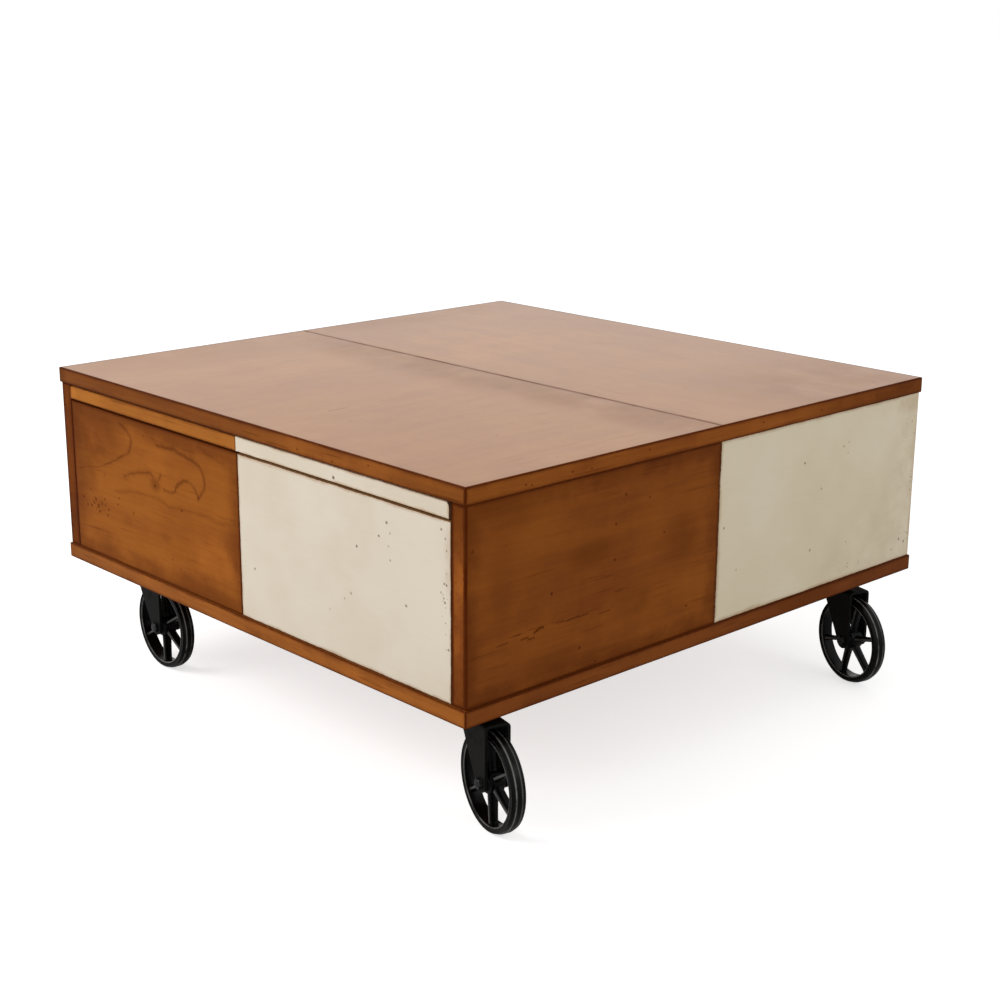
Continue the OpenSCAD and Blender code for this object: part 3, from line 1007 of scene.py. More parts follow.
def rounded_board(name: str, box: Box, radius: float) -> Object:
    """A board with rounded edges and exact flat faces.

    Six grids, one for each side of the box, are sampled by arc_steps and moved by rounded. Normals
    point from the inner box, smaller by the radius, to the surface.

    Args:
        name: the object's name.
        box: the board's box.
        radius: rounding of the edges in metres.

    Returns:
        The object.
    """
    low, high = np.array(box.low), np.array(box.high)
    skin = Surface()
    samples = [arc_steps(low[k], high[k], radius) for k in range(3)]
    for axis in range(3):
        u, v = [k for k in range(3) if k != axis]
        for side in (low[axis], high[axis]):
            grid = np.full((len(samples[u]), len(samples[v]), 3), side)
            grid[..., u] = samples[u][:, None]
            grid[..., v] = samples[v][None, :]
            skin.grid(rounded(grid, low, high, radius))
    made = skin.build(name, smooth=60.0)
    at = points_of(made.data)
    out = at - np.clip(at, low + radius, high - radius)
    length = np.linalg.norm(out, axis=1, keepdims=True)
    made.data.normals_split_custom_set_from_vertices((out / np.maximum(length, 1e-12)).tolist())
    return made


def revolved(skin: Surface, profile: np.ndarray, place: Matrix, steps: int,
             closed: bool = True) -> None:
    """Adds a profile turned about the local z axis: each point goes round a circle of its radius.

    Args:
        skin: the surface that takes the grid.
        profile: array of (radius, height) rows in metres.
        place: where the local axes stand.
        steps: points round the circle.
        closed: joins the profile's last point to its first.
    """
    turn = np.linspace(0.0, 2 * math.pi, steps, endpoint=False)[:, None]
    radius, height = profile.T
    grid = np.stack([np.cos(turn) * radius, np.sin(turn) * radius, height + 0 * turn], -1)
    skin.grid(moved(grid, place), close_u=True, close_v=closed)


def soft_profile(corners: Sequence[Pair], radius: float, steps: int = 4) -> np.ndarray:
    """A closed profile with each corner rounded.

    Each corner becomes a quadratic curve between two points that lie the radius away along its
    sides, or nearly half the side where that is shorter.

    Args:
        corners: the sharp corners in order.
        radius: rounding in metres.
        steps: steps in each rounded corner.

    Returns:
        The profile's points.
    """
    sharp = np.array(corners)
    share = np.linspace(0.0, 1.0, steps + 1)[None, :, None]
    ends = []
    for way in (1, -1):
        side = np.roll(sharp, way, axis=0) - sharp
        length = np.linalg.norm(side, axis=1, keepdims=True)
        ends.append((sharp + side / length * np.minimum(radius, length * 0.49))[:, None])
    start, stop = ends
    curve = (1 - share) ** 2 * start + 2 * share * (1 - share) * sharp[:, None] + share ** 2 * stop
    return curve.reshape(-1, 2)


def mirrored(upper: Sequence[Pair]) -> list[Pair]:
    """A profile of (radius, height) corners from its upper half, run from the middle inwards."""
    return [(radius, -height) for radius, height in upper[::-1]] + list(upper)


def banded(inner: float, outer: float, low: float, high: float) -> list[Pair]:
    """The four corners of a straight ring's profile."""
    return [(inner, low), (outer, low), (outer, high), (inner, high)]


def plate(skin: Surface, outline: np.ndarray, low: float, high: float, radius: float,
          place: Matrix) -> None:
    """Adds a flat plate with rounded edges.

    The outline is carried up a half round edge: each step draws it in along its own normals by
    the radius times one less the cosine.

    Args:
        skin: the surface that takes it.
        outline: closed loop of (x, y) rows, anticlockwise.
        low: lower face.
        high: upper face.
        radius: rounding of both edges.
        place: where the local axes stand.
    """
    ahead = np.roll(outline, -1, axis=0) - np.roll(outline, 1, axis=0)
    normal = np.stack([ahead[:, 1], -ahead[:, 0]], -1)
    normal /= np.linalg.norm(normal, axis=1, keepdims=True)
    turn = np.radians(np.linspace(90.0, 0.0, 4))
    inwards, upwards = radius * (1 - np.cos(turn)), radius * (1 - np.sin(turn))
    drawn = np.concatenate([inwards, inwards[::-1]])
    level = np.concatenate([low + upwards, (high - upwards)[::-1]])
    grid = np.zeros((len(level), len(outline), 3))
    grid[..., :2] = outline[None] - normal[None] * drawn[:, None, None]
    grid[..., 2] = level[:, None]
    skin.tube(moved(grid, place))


def eased_copy(node: str, width: float) -> Object:
    """Copies a CAD node and rounds its sharp edges with a Bevel modifier.

    Args:
        node: the CAD node.
        width: bevel width in metres.

    Returns:
        The copy at the origin.
    """
    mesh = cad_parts[node].data.copy()
    work = bmesh.new()
    work.from_mesh(mesh)
    bmesh.ops.remove_doubles(work, verts=work.verts, dist=2e-6)
    bmesh.ops.dissolve_limit(work, angle_limit=math.radians(1.0), verts=work.verts,
                             edges=work.edges)
    work.to_mesh(mesh)
    work.free()
    mesh.shade_smooth()
    mesh.set_sharp_from_angle(angle=math.radians(35.0))
    made = linked("eased_" + node, mesh)
    bevelled(made, "eased edges", width, 35.0)
    return made


def bevelled(piece: Object, name: str, width: float, angle: float) -> None:
    """Adds a Bevel modifier to the edges sharper than an angle.

    Args:
        piece: the object.
        name: the modifier's name.
        width: bevel width in metres.
        angle: the angle in degrees.
    """
    bevel = piece.modifiers.new(name, "BEVEL")
    bevel.width = width
    bevel.segments = 2
    bevel.limit_method = "ANGLE"
    bevel.angle_limit = math.radians(angle)
    bevel.harden_normals = True


# pieces


def settle(piece: Object, body: str, material: bpy.types.Material,
           nodes: Sequence[str] = ()) -> None:
    """Dresses a finished piece, hands it to its body and reports it.

    Args:
        piece: the object.
        body: the CAD body that it rides.
        material: its material.
        nodes: the CAD nodes that it stands for.
    """
    piece.data.materials.clear()
    piece.data.materials.append(material)
    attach(piece, body)
    if nodes:
        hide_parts(*nodes)
    log.info("%s: %d faces on %s", piece.name, len(piece.data.polygons), body)


@dataclass
class Slab:
    """Top or bottom slab: boards inside a mitred lipping."""

    name: str  # start of the node names, top or bottom
    boards: dict[str, StainedCherry]  # the nodes of its boards and their stains
    edges: dict[str, StainedCherry]  # the stain of each lipping strip, by its side
    arris: float = 0.0013  # rounding of the outer edges in metres
    seam: float = 0.0004  # rounding of the boards' edges in metres
    lip: float = 0.003  # width of the lipping that shows on the flat faces in metres
    margin: float = 0.05  # a board's side this near the slab's edge counts as its edge

    def whole(self) -> Box:
        """The box of the whole slab, from its lippings."""
        sides = [Box.of(f"{self.name}_lipping_{side}") for side in self.edges]
        return Box(tuple(min(side.low[k] for side in sides) for k in range(3)),
                   tuple(max(side.high[k] for side in sides) for k in range(3)))

    def strip(self, side: str, turn: int) -> Object:
        """One mitred lipping strip with rounded outer edges.

        The profile runs round the strip and is carried along it; each end is cut where the
        distance along equals half the slab less the distance in from the edge.

        Args:
            side: which side of the slab.
            turn: quarter turns from the +X side.

        Returns:
            The object.
        """
        box = self.whole()
        reach, low, high = box.high[0], box.low[2], box.high[2]
        up = arc_steps(low, high, self.arris)
        edge = self.arris * (1.0 - np.tan(np.radians(np.linspace(0.0, 45.0, 4))))[:-1]
        inward = np.concatenate([[self.lip], edge])
        across = np.concatenate([-inward, np.zeros(len(up)), -inward[::-1]])
        height = np.concatenate([np.full(len(inward), low), up, np.full(len(inward), high)])
        along = arc_steps(-reach, reach, self.arris)
        limit = reach + across
        grid = np.zeros((len(along), len(across), 3))
        grid[..., 0] = limit[None]
        grid[..., 1] = np.clip(along[:, None], -limit[None], limit[None])
        grid[..., 2] = height[None]
        grid = rounded(grid, np.array(box.low), np.array(box.high), self.arris)
        skin = Surface()
        skin.tube(moved(grid, Matrix.Rotation(turn * math.pi / 2, 4, "Z")))
        return skin.build(f"{self.name}_edge_{side}", smooth=30.0)

    def make(self) -> None:
        """Builds the boards and the four strips."""
        box = self.whole()
        for board, finish in self.boards.items():
            own = Box.of(board)
            piece = rounded_board(board + "_dressed", own, self.seam)
            low_y = own.low[1] if own.low[1] > box.low[1] + self.margin else box.low[1]
            high_y = own.high[1] if own.high[1] < box.high[1] - self.margin else box.high[1]
            shown = Box((box.low[0], low_y, box.low[2]), (box.high[0], high_y, box.high[2]))
            settle(piece, "case", finish.material(board, shown), [board])
        for turn, side in enumerate(("right", "back", "left", "front")):
            piece = self.strip(side, turn)
            along, across = ((Axis.Y, Axis.X), (Axis.X, Axis.Y))[turn % 2]
            stain = replace(self.edges[side], grain=along, face=across,
                            shift=(turn * 1.3, turn * 0.7, 2.0))
            settle(piece, "case", stain.material(f"{self.name}_edge_{side}", box),
                   [f"{self.name}_lipping_{side}"])


@dataclass
class Part:
    """One CAD node to dress: the body it rides, its finish and its rounding in metres."""

    body: str
    finish: Finish
    ease: float = 0.0008


@dataclass
class Parts:
    """Parts that take their shape from their CAD nodes."""

    shape: Shape
    nodes: dict[str, Part]

    def make(self) -> None:
        """Builds and dresses each part."""
        for node, part in self.nodes.items():
            box = Box.of(node)
            if self.shape is Shape.BOARD:
                piece = rounded_board(node + "_dressed", box, part.ease)
            else:
                piece = eased_copy(node, part.ease)
            settle(piece, part.body, part.finish.material(node, box), [node])


@dataclass
class Castor:
    """One swivel castor, drawn with its pin on the z axis and the slab underside at z = 0."""

    name: str  # end of the node names
    pin: Pair  # plan place of the pin in metres
    turn: float  # swivel at rest in degrees
    spoke_turn: float  # turn of the spokes at rest in degrees
    top: float = 0.162  # height of the slab's underside
    wheel_r: float = 0.066
    rim_w: float = 0.020
    rim_t: float = 0.010
    crown: float = 0.002  # how far the tread is rounded off
    trail: float = 0.052  # from the pin to the axle
    head: float = 0.030  # from the slab to the top of the wheel
    fork_w: float = 0.036
    fork_t: float = 0.004
    leg_r: float = 0.012  # round end of a fork leg
    crown_z: float = -0.0195  # middle of the fork's crown
    bend: float = 0.005  # inner bend of the fork's crown
    hub_l: float = 0.025
    hub_r: float = 0.0150
    collar_r: float = 0.0120  # narrower ends of the hub
    spokes: int = 6
    spoke_from: float = 0.0115  # radius where the spokes start, inside the hub
    spoke_into: float = 0.002  # how far a spoke runs into the rim
    spoke_w: float = 0.0037  # half width of a spoke between its flares
    spoke_depth: float = 0.0075  # half depth of a spoke at the hub
    spoke_taper: float = 0.15  # share of the depth lost on the way to the rim
    axle_r: float = 0.004
    bolt_side: float = 0.0065  # from the middle of the bolt's head to a flat
    bolt_h: float = 0.0050
    pin_bore: float = 0.00605
    enamel: ClassVar[BlackIron] = BlackIron()
    pressed: ClassVar[BlackIron] = BlackIron(tone=linear(13, 13, 12), gloss=0.45, grit=0.0012,
                                             sheen=0.08)
    steel: ClassVar[DullSteel] = DullSteel()

    def place(self, turned: bool = True) -> Matrix:
        """Where the castor's local axes stand."""
        at = Matrix.Translation((*self.pin, self.top))
        return at @ Matrix.Rotation(math.radians(self.turn), 4, "Z") if turned else at

    def axle(self) -> Matrix:
        """Local axes at the axle: z along it towards -y, x along the travel."""
        return (self.place() @ Matrix.Translation((self.trail, 0, -self.head - self.wheel_r))
                @ Matrix.Rotation(math.pi / 2, 4, "X"))

    def spoke_run(self) -> float:
        """Length of a spoke, from inside the hub to inside the rim."""
        return self.wheel_r - self.rim_t + self.spoke_into - self.spoke_from

    def spoke(self) -> np.ndarray:
        """One spoke along local x.

        Its section is a flattened oval. Its width flares by falling exponentials from the hub and
        from the rim, and its depth tapers evenly.

        Returns:
            Grid of shape (rows, loop, 3).
        """
        along = np.linspace(0.0, 1.0, 15)[:, None]
        round_ = np.linspace(0.0, 2 * math.pi, 20, endpoint=False)[None]
        at_hub, at_rim = 0.55 * np.exp(-along / 0.09), 0.75 * np.exp((along - 1.0) / 0.08)
        wide = self.spoke_w * (1.0 + at_hub + at_rim) * (1.0 - 0.12 * along)
        deep = self.spoke_depth * (1.0 - self.spoke_taper * along)
        flat = 0.8
        rise = np.sign(np.sin(round_)) * np.abs(np.sin(round_)) ** flat
        reach = self.spoke_from + along * self.spoke_run()
        return np.stack([reach + 0 * round_, wide * np.cos(round_), deep * rise], -1)

    def wheel(self) -> Object:
        """Cast wheel: a rim with a rounded tread, a stepped hub and spokes that flare into both.

        Returns:
            The object.
        """
        skin, place, half = Surface(), self.axle(), self.rim_w / 2
        inner, outer = self.wheel_r - self.rim_t, self.wheel_r
        flat, near, edge, dish = half * 0.42, 0.0014, 0.0010, 0.0007
        fall = self.crown * near / (half - flat)
        tread = [(outer, flat - near), (outer, flat), (outer - fall, flat + near),
                 (outer - self.crown + fall, half - near), (outer - self.crown, half)]
        side = [(outer - 0.0030, half), (outer - 0.0040, half - dish),
                (inner + 0.0022, half - dish), (inner + edge, half), (inner, half - edge)]
        revolved(skin, soft_profile(mirrored(tread + side), 0.0007, 2), place, 128)
        bore, long = self.axle_r + 0.0001, self.hub_l / 2
        hub = [(self.hub_r, 0.0098), (self.collar_r, 0.0106), (self.collar_r - 0.0004, long),
               (bore, long)]
        revolved(skin, soft_profile(mirrored(hub), 0.0010, 3), place, 48)
        for spoke in range(self.spokes):
            angle = math.radians(self.spoke_turn + spoke * 360 / self.spokes)
            skin.tube(moved(self.spoke(), place @ Matrix.Rotation(angle, 4, "Z")))
        made = skin.build("wheel_" + self.name, merge=2e-6, smooth=50.0)
        # painted highlights: the inner edges of the rim, the tread's creases and the spokes' crests
        self.rub(made.data, ((inner + 0.0007, half, 0.95), (inner + 0.0007, -half, 0.6),
                             (outer - 0.0001, flat, 0.85), (outer - 0.0001, -flat, 0.4)))
        return made

    def rub(self, mesh: bpy.types.Mesh, edges: Sequence[Point]) -> None:
        """Paints highlights on the rim's edges, as the mesh's own "painted_highlight" attribute.

        The painted highlight falls off as a bell curve with the distance from each marked edge, and
        from the crest of the spokes on the side that the bolt's head holds.

        Args:
            mesh: the finished wheel's mesh.
            edges: radius, height along the axle and strength of each highlit edge.
        """
        blur, crest_blur, crest_highlight, clear = 0.0008, 0.0005, 0.35, 0.0015
        local = moved(points_of(mesh), self.axle().inverted())
        out, up = np.hypot(local[:, 0], local[:, 1]), local[:, 2]
        painted_highlight = np.max([strength * np.exp(-(np.hypot(out - radius, up - height) / blur) ** 2)
                       for radius, height, strength in edges], axis=0)
        rim = self.wheel_r - self.rim_t
        along = (out - self.spoke_from) / self.spoke_run()
        crest = self.spoke_depth * (1.0 - self.spoke_taper * along)
        between = (out > self.hub_r + clear) & (out < rim - crest_blur)
        painted_highlight = np.maximum(painted_highlight, between * crest_highlight * np.exp(-((crest - up) / crest_blur) ** 2))
        mesh.attributes.new("painted_highlight", "FLOAT", "POINT").data.foreach_set("value", painted_highlight)

    def fork(self) -> Object:
        """Pressed fork: one strip bent over the wheel.

        The strip's middle line runs up one leg, round two bends and down the other; its front and
        back edges are functions of the height, straight, flared under the crown and half round
        about the axle. Solidify gives it the plate's thickness.

        Returns:
            The object.
        """
        half, bend, top = (self.fork_w - self.fork_t) / 2, self.bend, self.crown_z
        axle_z, flare_x, flare_z = -self.head - self.wheel_r, 0.006, -0.034
        rise = 1 - np.cos(np.radians(np.linspace(2.0, 90.0, 9)))
        leg = np.concatenate([axle_z - self.leg_r + self.leg_r * rise,
                              np.linspace(axle_z + 0.004, -0.040, 7),
                              np.linspace(-0.037, top - bend, 7)])
        arc = np.radians(np.linspace(0.0, 90.0, 6))[1:]
        path_y = np.concatenate([np.full(len(leg), -half), -half + bend * (1 - np.cos(arc)),
                                 np.linspace(-half + bend + 0.003, 0.0, 4)])
        path_z = np.concatenate([leg, top - bend + bend * np.sin(arc), np.full(4, top)])
        path_y = np.concatenate([path_y, -path_y[-2::-1]])[:, None]
        path_z = np.concatenate([path_z, path_z[-2::-1]])[:, None]
        below = np.clip(axle_z - path_z, 0.0, self.leg_r)
        swing = np.sqrt(np.maximum(self.leg_r ** 2 - below ** 2, 0.0))
        slope = np.clip((path_z - axle_z) / (flare_z - axle_z), 0.0, 1.0)
        flare = np.clip((path_z - flare_z) / (top - flare_z), 0.0, 1.0)
        front = (self.trail - swing) * (1 - slope) + flare_x * slope - 0.026 * flare ** 1.8
        back = self.trail + np.where(path_z < axle_z, swing, self.leg_r)
        share = np.linspace(0.0, 1.0, 9)[None]
        grid = np.stack([front * (1 - share) + back * share, path_y + 0 * share,
                         path_z + 0 * share], -1)
        skin = Surface()
        skin.grid(moved(grid, self.place()))
        made = skin.build("fork_" + self.name, smooth=60.0, mend=False)
        thick = made.modifiers.new("plate", "SOLIDIFY")
        thick.thickness = self.fork_t
        thick.offset = 0.0
        bevelled(made, "edges", 0.0009, 50.0)
        return made

    def cup(self) -> Object:
        """Swivel cup on the crown: a pressed dish round the pin.

        Returns:
            The object.
        """
        skin, low, lip, high = Surface(), -0.0216, -0.01294, -0.0046
        dish = soft_profile([(self.pin_bore, low), (0.0262, low), (0.0280, -0.0188),
                             (0.0280, -0.0142), (0.0272, lip), (0.0200, lip), (0.0196, high),
                             (self.pin_bore, high)], 0.0016, 4)
        revolved(skin, dish, self.place(), 64)
        return skin.build("swivel_cup_" + self.name, smooth=50.0)

    def bolt(self) -> Object:
        """Axle bolt with a chamfered six-sided head, its nut, and the two washers.

        The head's radius at each angle is the smaller of the hexagon's and the chamfer cone's.

        Returns:
            The object.
        """
        skin, place, leg = Surface(), self.axle(), self.fork_w / 2
        turn = np.linspace(0.0, 2 * math.pi, 72, endpoint=False)[None]
        hexagon = self.bolt_side / np.cos((turn % (math.pi / 3)) - math.pi / 6)
        rise = self.bolt_h - np.array([self.bolt_h, 0.0014, 0.0009, 0.0004, 0.0])[:, None]
        cone = np.array([1.0, 0.0075, 0.0070, 0.0064, 0.0054])[:, None]
        reach = np.minimum(hexagon, cone)
        for way in (1.0, -1.0):
            skin.tube(moved(np.stack([reach * np.cos(turn), reach * np.sin(turn),
                                      way * (leg + rise) + 0 * turn], -1), place))
        past_nut, past_head, washer_r, washer_t = 0.0070, 0.001, 0.008, 0.0012
        shank = banded(0.0, self.axle_r, -leg - past_nut, leg + past_head)
        revolved(skin, soft_profile(shank, 0.0007, 2), place, 32, closed=False)
        inside = leg - self.fork_t
        for low in (-inside, inside - washer_t):
            washer = banded(self.axle_r, washer_r, low, low + washer_t)
            revolved(skin, soft_profile(washer, 0.0003, 2), place, 40)
        return skin.build("axle_bolt_" + self.name, smooth=35.0)

    def head_plate(self) -> Object:
        """Top plate with rounded corners and the fixed skirt of the swivel.

        Returns:
            The object.
        """
        skin, place = Surface(), self.place(False)
        long, wide, corner, thick, ease = 0.048, 0.042, 0.008, 0.004, 0.0006
        outline = soft_profile([(-long, -wide), (long, -wide), (long, wide), (-long, wide)],
                               corner, 8)
        plate(skin, outline, -thick, 0.0, ease, place)
        skirt = soft_profile([(0.022, -0.0036), (0.022, -0.0126), (0.0255, -0.0126),
                              (0.027, -0.0114), (0.027, -0.0055), (0.0285, -0.0036)], 0.0010, 3)
        revolved(skin, skirt, place, 64)
        return skin.build("top_plate_" + self.name, smooth=40.0)

    def make(self) -> None:
        """Builds and dresses the castor."""
        name = self.name
        fork, wheel, iron = "fork_" + name, "wheel_" + name, self.enamel.slot
        pressed = self.pressed.material("pressed_iron_" + name)
        settle(self.wheel(), wheel, self.enamel.material("cast_iron_" + name),
               ["castor_wheel_" + name])
        settle(self.fork(), fork, pressed, ["castor_fork_" + name])
        settle(self.cup(), fork, pressed)
        settle(self.bolt(), fork, self.steel.material("bolt_steel_" + name),
               ["castor_axle_" + name])
        settle(self.head_plate(), "case", pressed, ["castor_plate_" + name])


# studio


@dataclass
class Studio:
    """Camera, pale floor and lamps."""

    eye: Point = (1.857917, -1.719940, 0.984879)
    ahead: Point = (-0.700467, 0.658491, -0.275200)
    down: Point = (0.204392, -0.184360, -0.961372)
    focal: float = 1.75222  # focal length in widths of the picture
    sensor: float = 36.0
    middle: Point = (0.0, 0.0, 0.3)  # the point that the lamps face
    floor_reach: float = 40.0
    floor_tone: Colour = (0.72, 0.72, 0.72)
    floor_glow: float = 0.66  # what the camera sees of the floor beyond the lamps' light
    soft: float = 0.60  # strength of the surroundings that light the table

    def camera(self) -> None:
        """Camera at the photo's viewpoint, from the fit to the table's edges."""
        data = bpy.data.cameras.new("camera")
        data.sensor_width = self.sensor
        data.lens = self.focal * self.sensor
        made = linked("camera", data)
        ahead = Vector(self.ahead).normalized()
        right = Vector(self.down).cross(ahead).normalized()
        rows = Matrix((right, right.cross(ahead), -ahead))
        made.matrix_world = Matrix.Translation(self.eye) @ rows.transposed().to_4x4()
        bpy.context.scene.camera = made

    def lamp(self, name: str, at: Point, size: Pair, power: float) -> None:
        """Adds one white area lamp that faces the middle of the table.

        Args:
            name: the lamp's name.
            at: its place in metres.
            size: its width and height in metres.
            power: its power in watts.
        """
        data = bpy.data.lights.new(name, "AREA")
        data.shape = "RECTANGLE"
        data.size, data.size_y = size
        data.energy = power
        aim = Vector(self.middle) - Vector(at)
        linked(name, data).matrix_world = (Matrix.Translation(at)
                                           @ aim.to_track_quat("-Z", "Y").to_matrix().to_4x4())

    def floor(self) -> None:
        """Wide white floor that keeps the table's shadow."""
        skin = Surface()
        span = np.linspace(-self.floor_reach, self.floor_reach, 3)
        skin.grid(np.stack([*np.meshgrid(span, span, indexing="ij"), np.zeros((3, 3))], -1))
        made = skin.build("floor", mend=False)
        shader = Shader("pale_floor")
        seen = shader.node("LightPath").outputs["Is Camera Ray"]
        shader.dress(Base_Color=self.floor_tone, Roughness=0.9, Specular_IOR_Level=0.0)
        plain = shader.surface.outputs[0]
        glow = shader.node("Emission", {"Color": WHITE, "Strength": self.floor_glow}).outputs[0]
        bright = shader.node("AddShader", {0: plain, 1: glow}).outputs[0]
        mixed = shader.node("MixShader", {0: seen, 1: plain, 2: bright}).outputs[0]
        shader.feed(shader.out.inputs[0], mixed)
        made.data.materials.append(shader.material)

    def world(self) -> None:
        """Even pale surroundings, white where the camera and gloss see them."""
        world = bpy.data.worlds.new("studio")
        bpy.context.scene.world = world
        world.use_nodes = True
        nodes = Nodes(world.node_tree)
        rays = nodes.node("LightPath").outputs
        clear = Signal(nodes, rays["Is Glossy Ray"]).most(rays["Is Transmission Ray"])
        seen = Signal(nodes, rays["Is Camera Ray"]).most(clear)
        soft, white = (nodes.node("Background", {0: WHITE, 1: strength}).outputs[0]
                       for strength in (self.soft, 1.0))
        mix = nodes.node("MixShader", {0: seen, 1: soft, 2: white})
        nodes.node("OutputWorld", {0: mix.outputs[0]})
        bpy.context.scene.view_settings.view_transform = "Standard"

    def make(self) -> None:
        """Sets up the whole studio."""
        self.camera()
        self.world()
        self.floor()
        self.lamp("key", (-1.6, -3.2, 2.6), (2.4, 2.0), 77.0)
        self.lamp("side", (3.4, 0.8, 2.0), (1.6, 1.6), 13.0)
        log.info("studio ready")


# the table's own parts; marks are in millimetres along the two axes of their face


BAND = StainedCherry(light=linear(142, 81, 31), deep=linear(106, 55, 24), halo=0.007,
                     halo_depth=0.35, near_shade=0.005, line=0.0016, fibre=0.45, holes=0.06)
LOWER_BAND = replace(BAND, light=linear(163, 96, 40), deep=linear(121, 67, 30), fibre=0.6)
POLISHED = StainedCherry(light=linear(182, 118, 35), deep=linear(161, 96, 22), line=0.0022,
                         glaze=linear(118, 58, 14), halo=0.018, halo_depth=0.2, near_shade=0.003,
                         near_shade_depth=0.3, fibre=0.22, gloss=0.16, sheen=0.0, polish=1.436,
                         holes=0.02)


def top_slab() -> Slab:
    """The top: two boards that meet in a dark joint, and the upper band.

    Returns:
        The slab.
    """
    front = replace(
        POLISHED, grain=Axis.Y, shift=(2.0, 5.0, 1.0),
        lines=(growth((46, -300), (46, -330), strength=0.8, soft=3.0),
               growth((-120, -10), (-118, -140), (-125, -300), (-118, -440), strength=0.12),
               growth((90, -10), (93, -160), (86, -300), (92, -440), strength=0.12)),
        clouds_and_shade=patches((0, -30, 900, 100, 0.40), (300, -30, 300, 90, 0.42),
                       (-450, -220, 170, 400, 0.26)),
        strong=patches((0, 0, 900, 30, 1.1)),
        holes_at=nicks((293, -255), (111, -345), (-371, -221), (-224, -364, 1.2, 0.6),
                       (323, -152, 1.2, 0.6)))
    rear = replace(
        POLISHED, shift=(6.0, 1.0, 3.0), glows=patches((-150, 160, 200, 220, 0.5)),
        clouds_and_shade=patches((400, 340, 260, 320, 0.34), (-450, 220, 130, 400, 0.26)),
        holes_at=nicks((267, 134)))
    return Slab("top", {"top_board_front": front, "top_board_rear": rear}, {
        "front": replace(
            BAND, glows=patches((220, 445, 190, 60, 0.8)),
            strong=patches((450, 445, 10, 50, 0.9)),
            clouds_and_shade=patches((-260, 445, 260, 80, 0.45), (-450, 445, 30, 60, 0.7)),
            holes_at=nicks((277, 448), (207, 439), (136, 441))),
        "right": replace(
            BAND, light=linear(155, 88, 33), deep=linear(126, 64, 25),
            clouds_and_shade=patches((360, 445, 220, 80, 0.8)), strong=patches((-450, 445, 10, 50, 0.9)),
            holes_at=nicks((-355, 442), (-345, 440, 1.2), (-278, 444), (-245, 442, 1.2),
                           (-142, 448), (-404, 433), (82, 447), (209, 444))),
        "back": BAND, "left": BAND})


def bottom_slab() -> Slab:
    """The bottom: one board and the lower band."""
    return Slab("bottom", {"bottom_board": StainedCherry(shift=(3.0, 1.0, 4.0))}, {
        "front": replace(LOWER_BAND, clouds_and_shade=patches((-420, 172, 80, 50, 0.6)),
                         glows=patches((220, 172, 160, 50, 0.4))),
        "right": replace(BAND, light=linear(134, 73, 30), deep=linear(104, 53, 24),
                         clouds_and_shade=patches((300, 170, 300, 80, 0.6))),
        "back": LOWER_BAND, "left": LOWER_BAND})


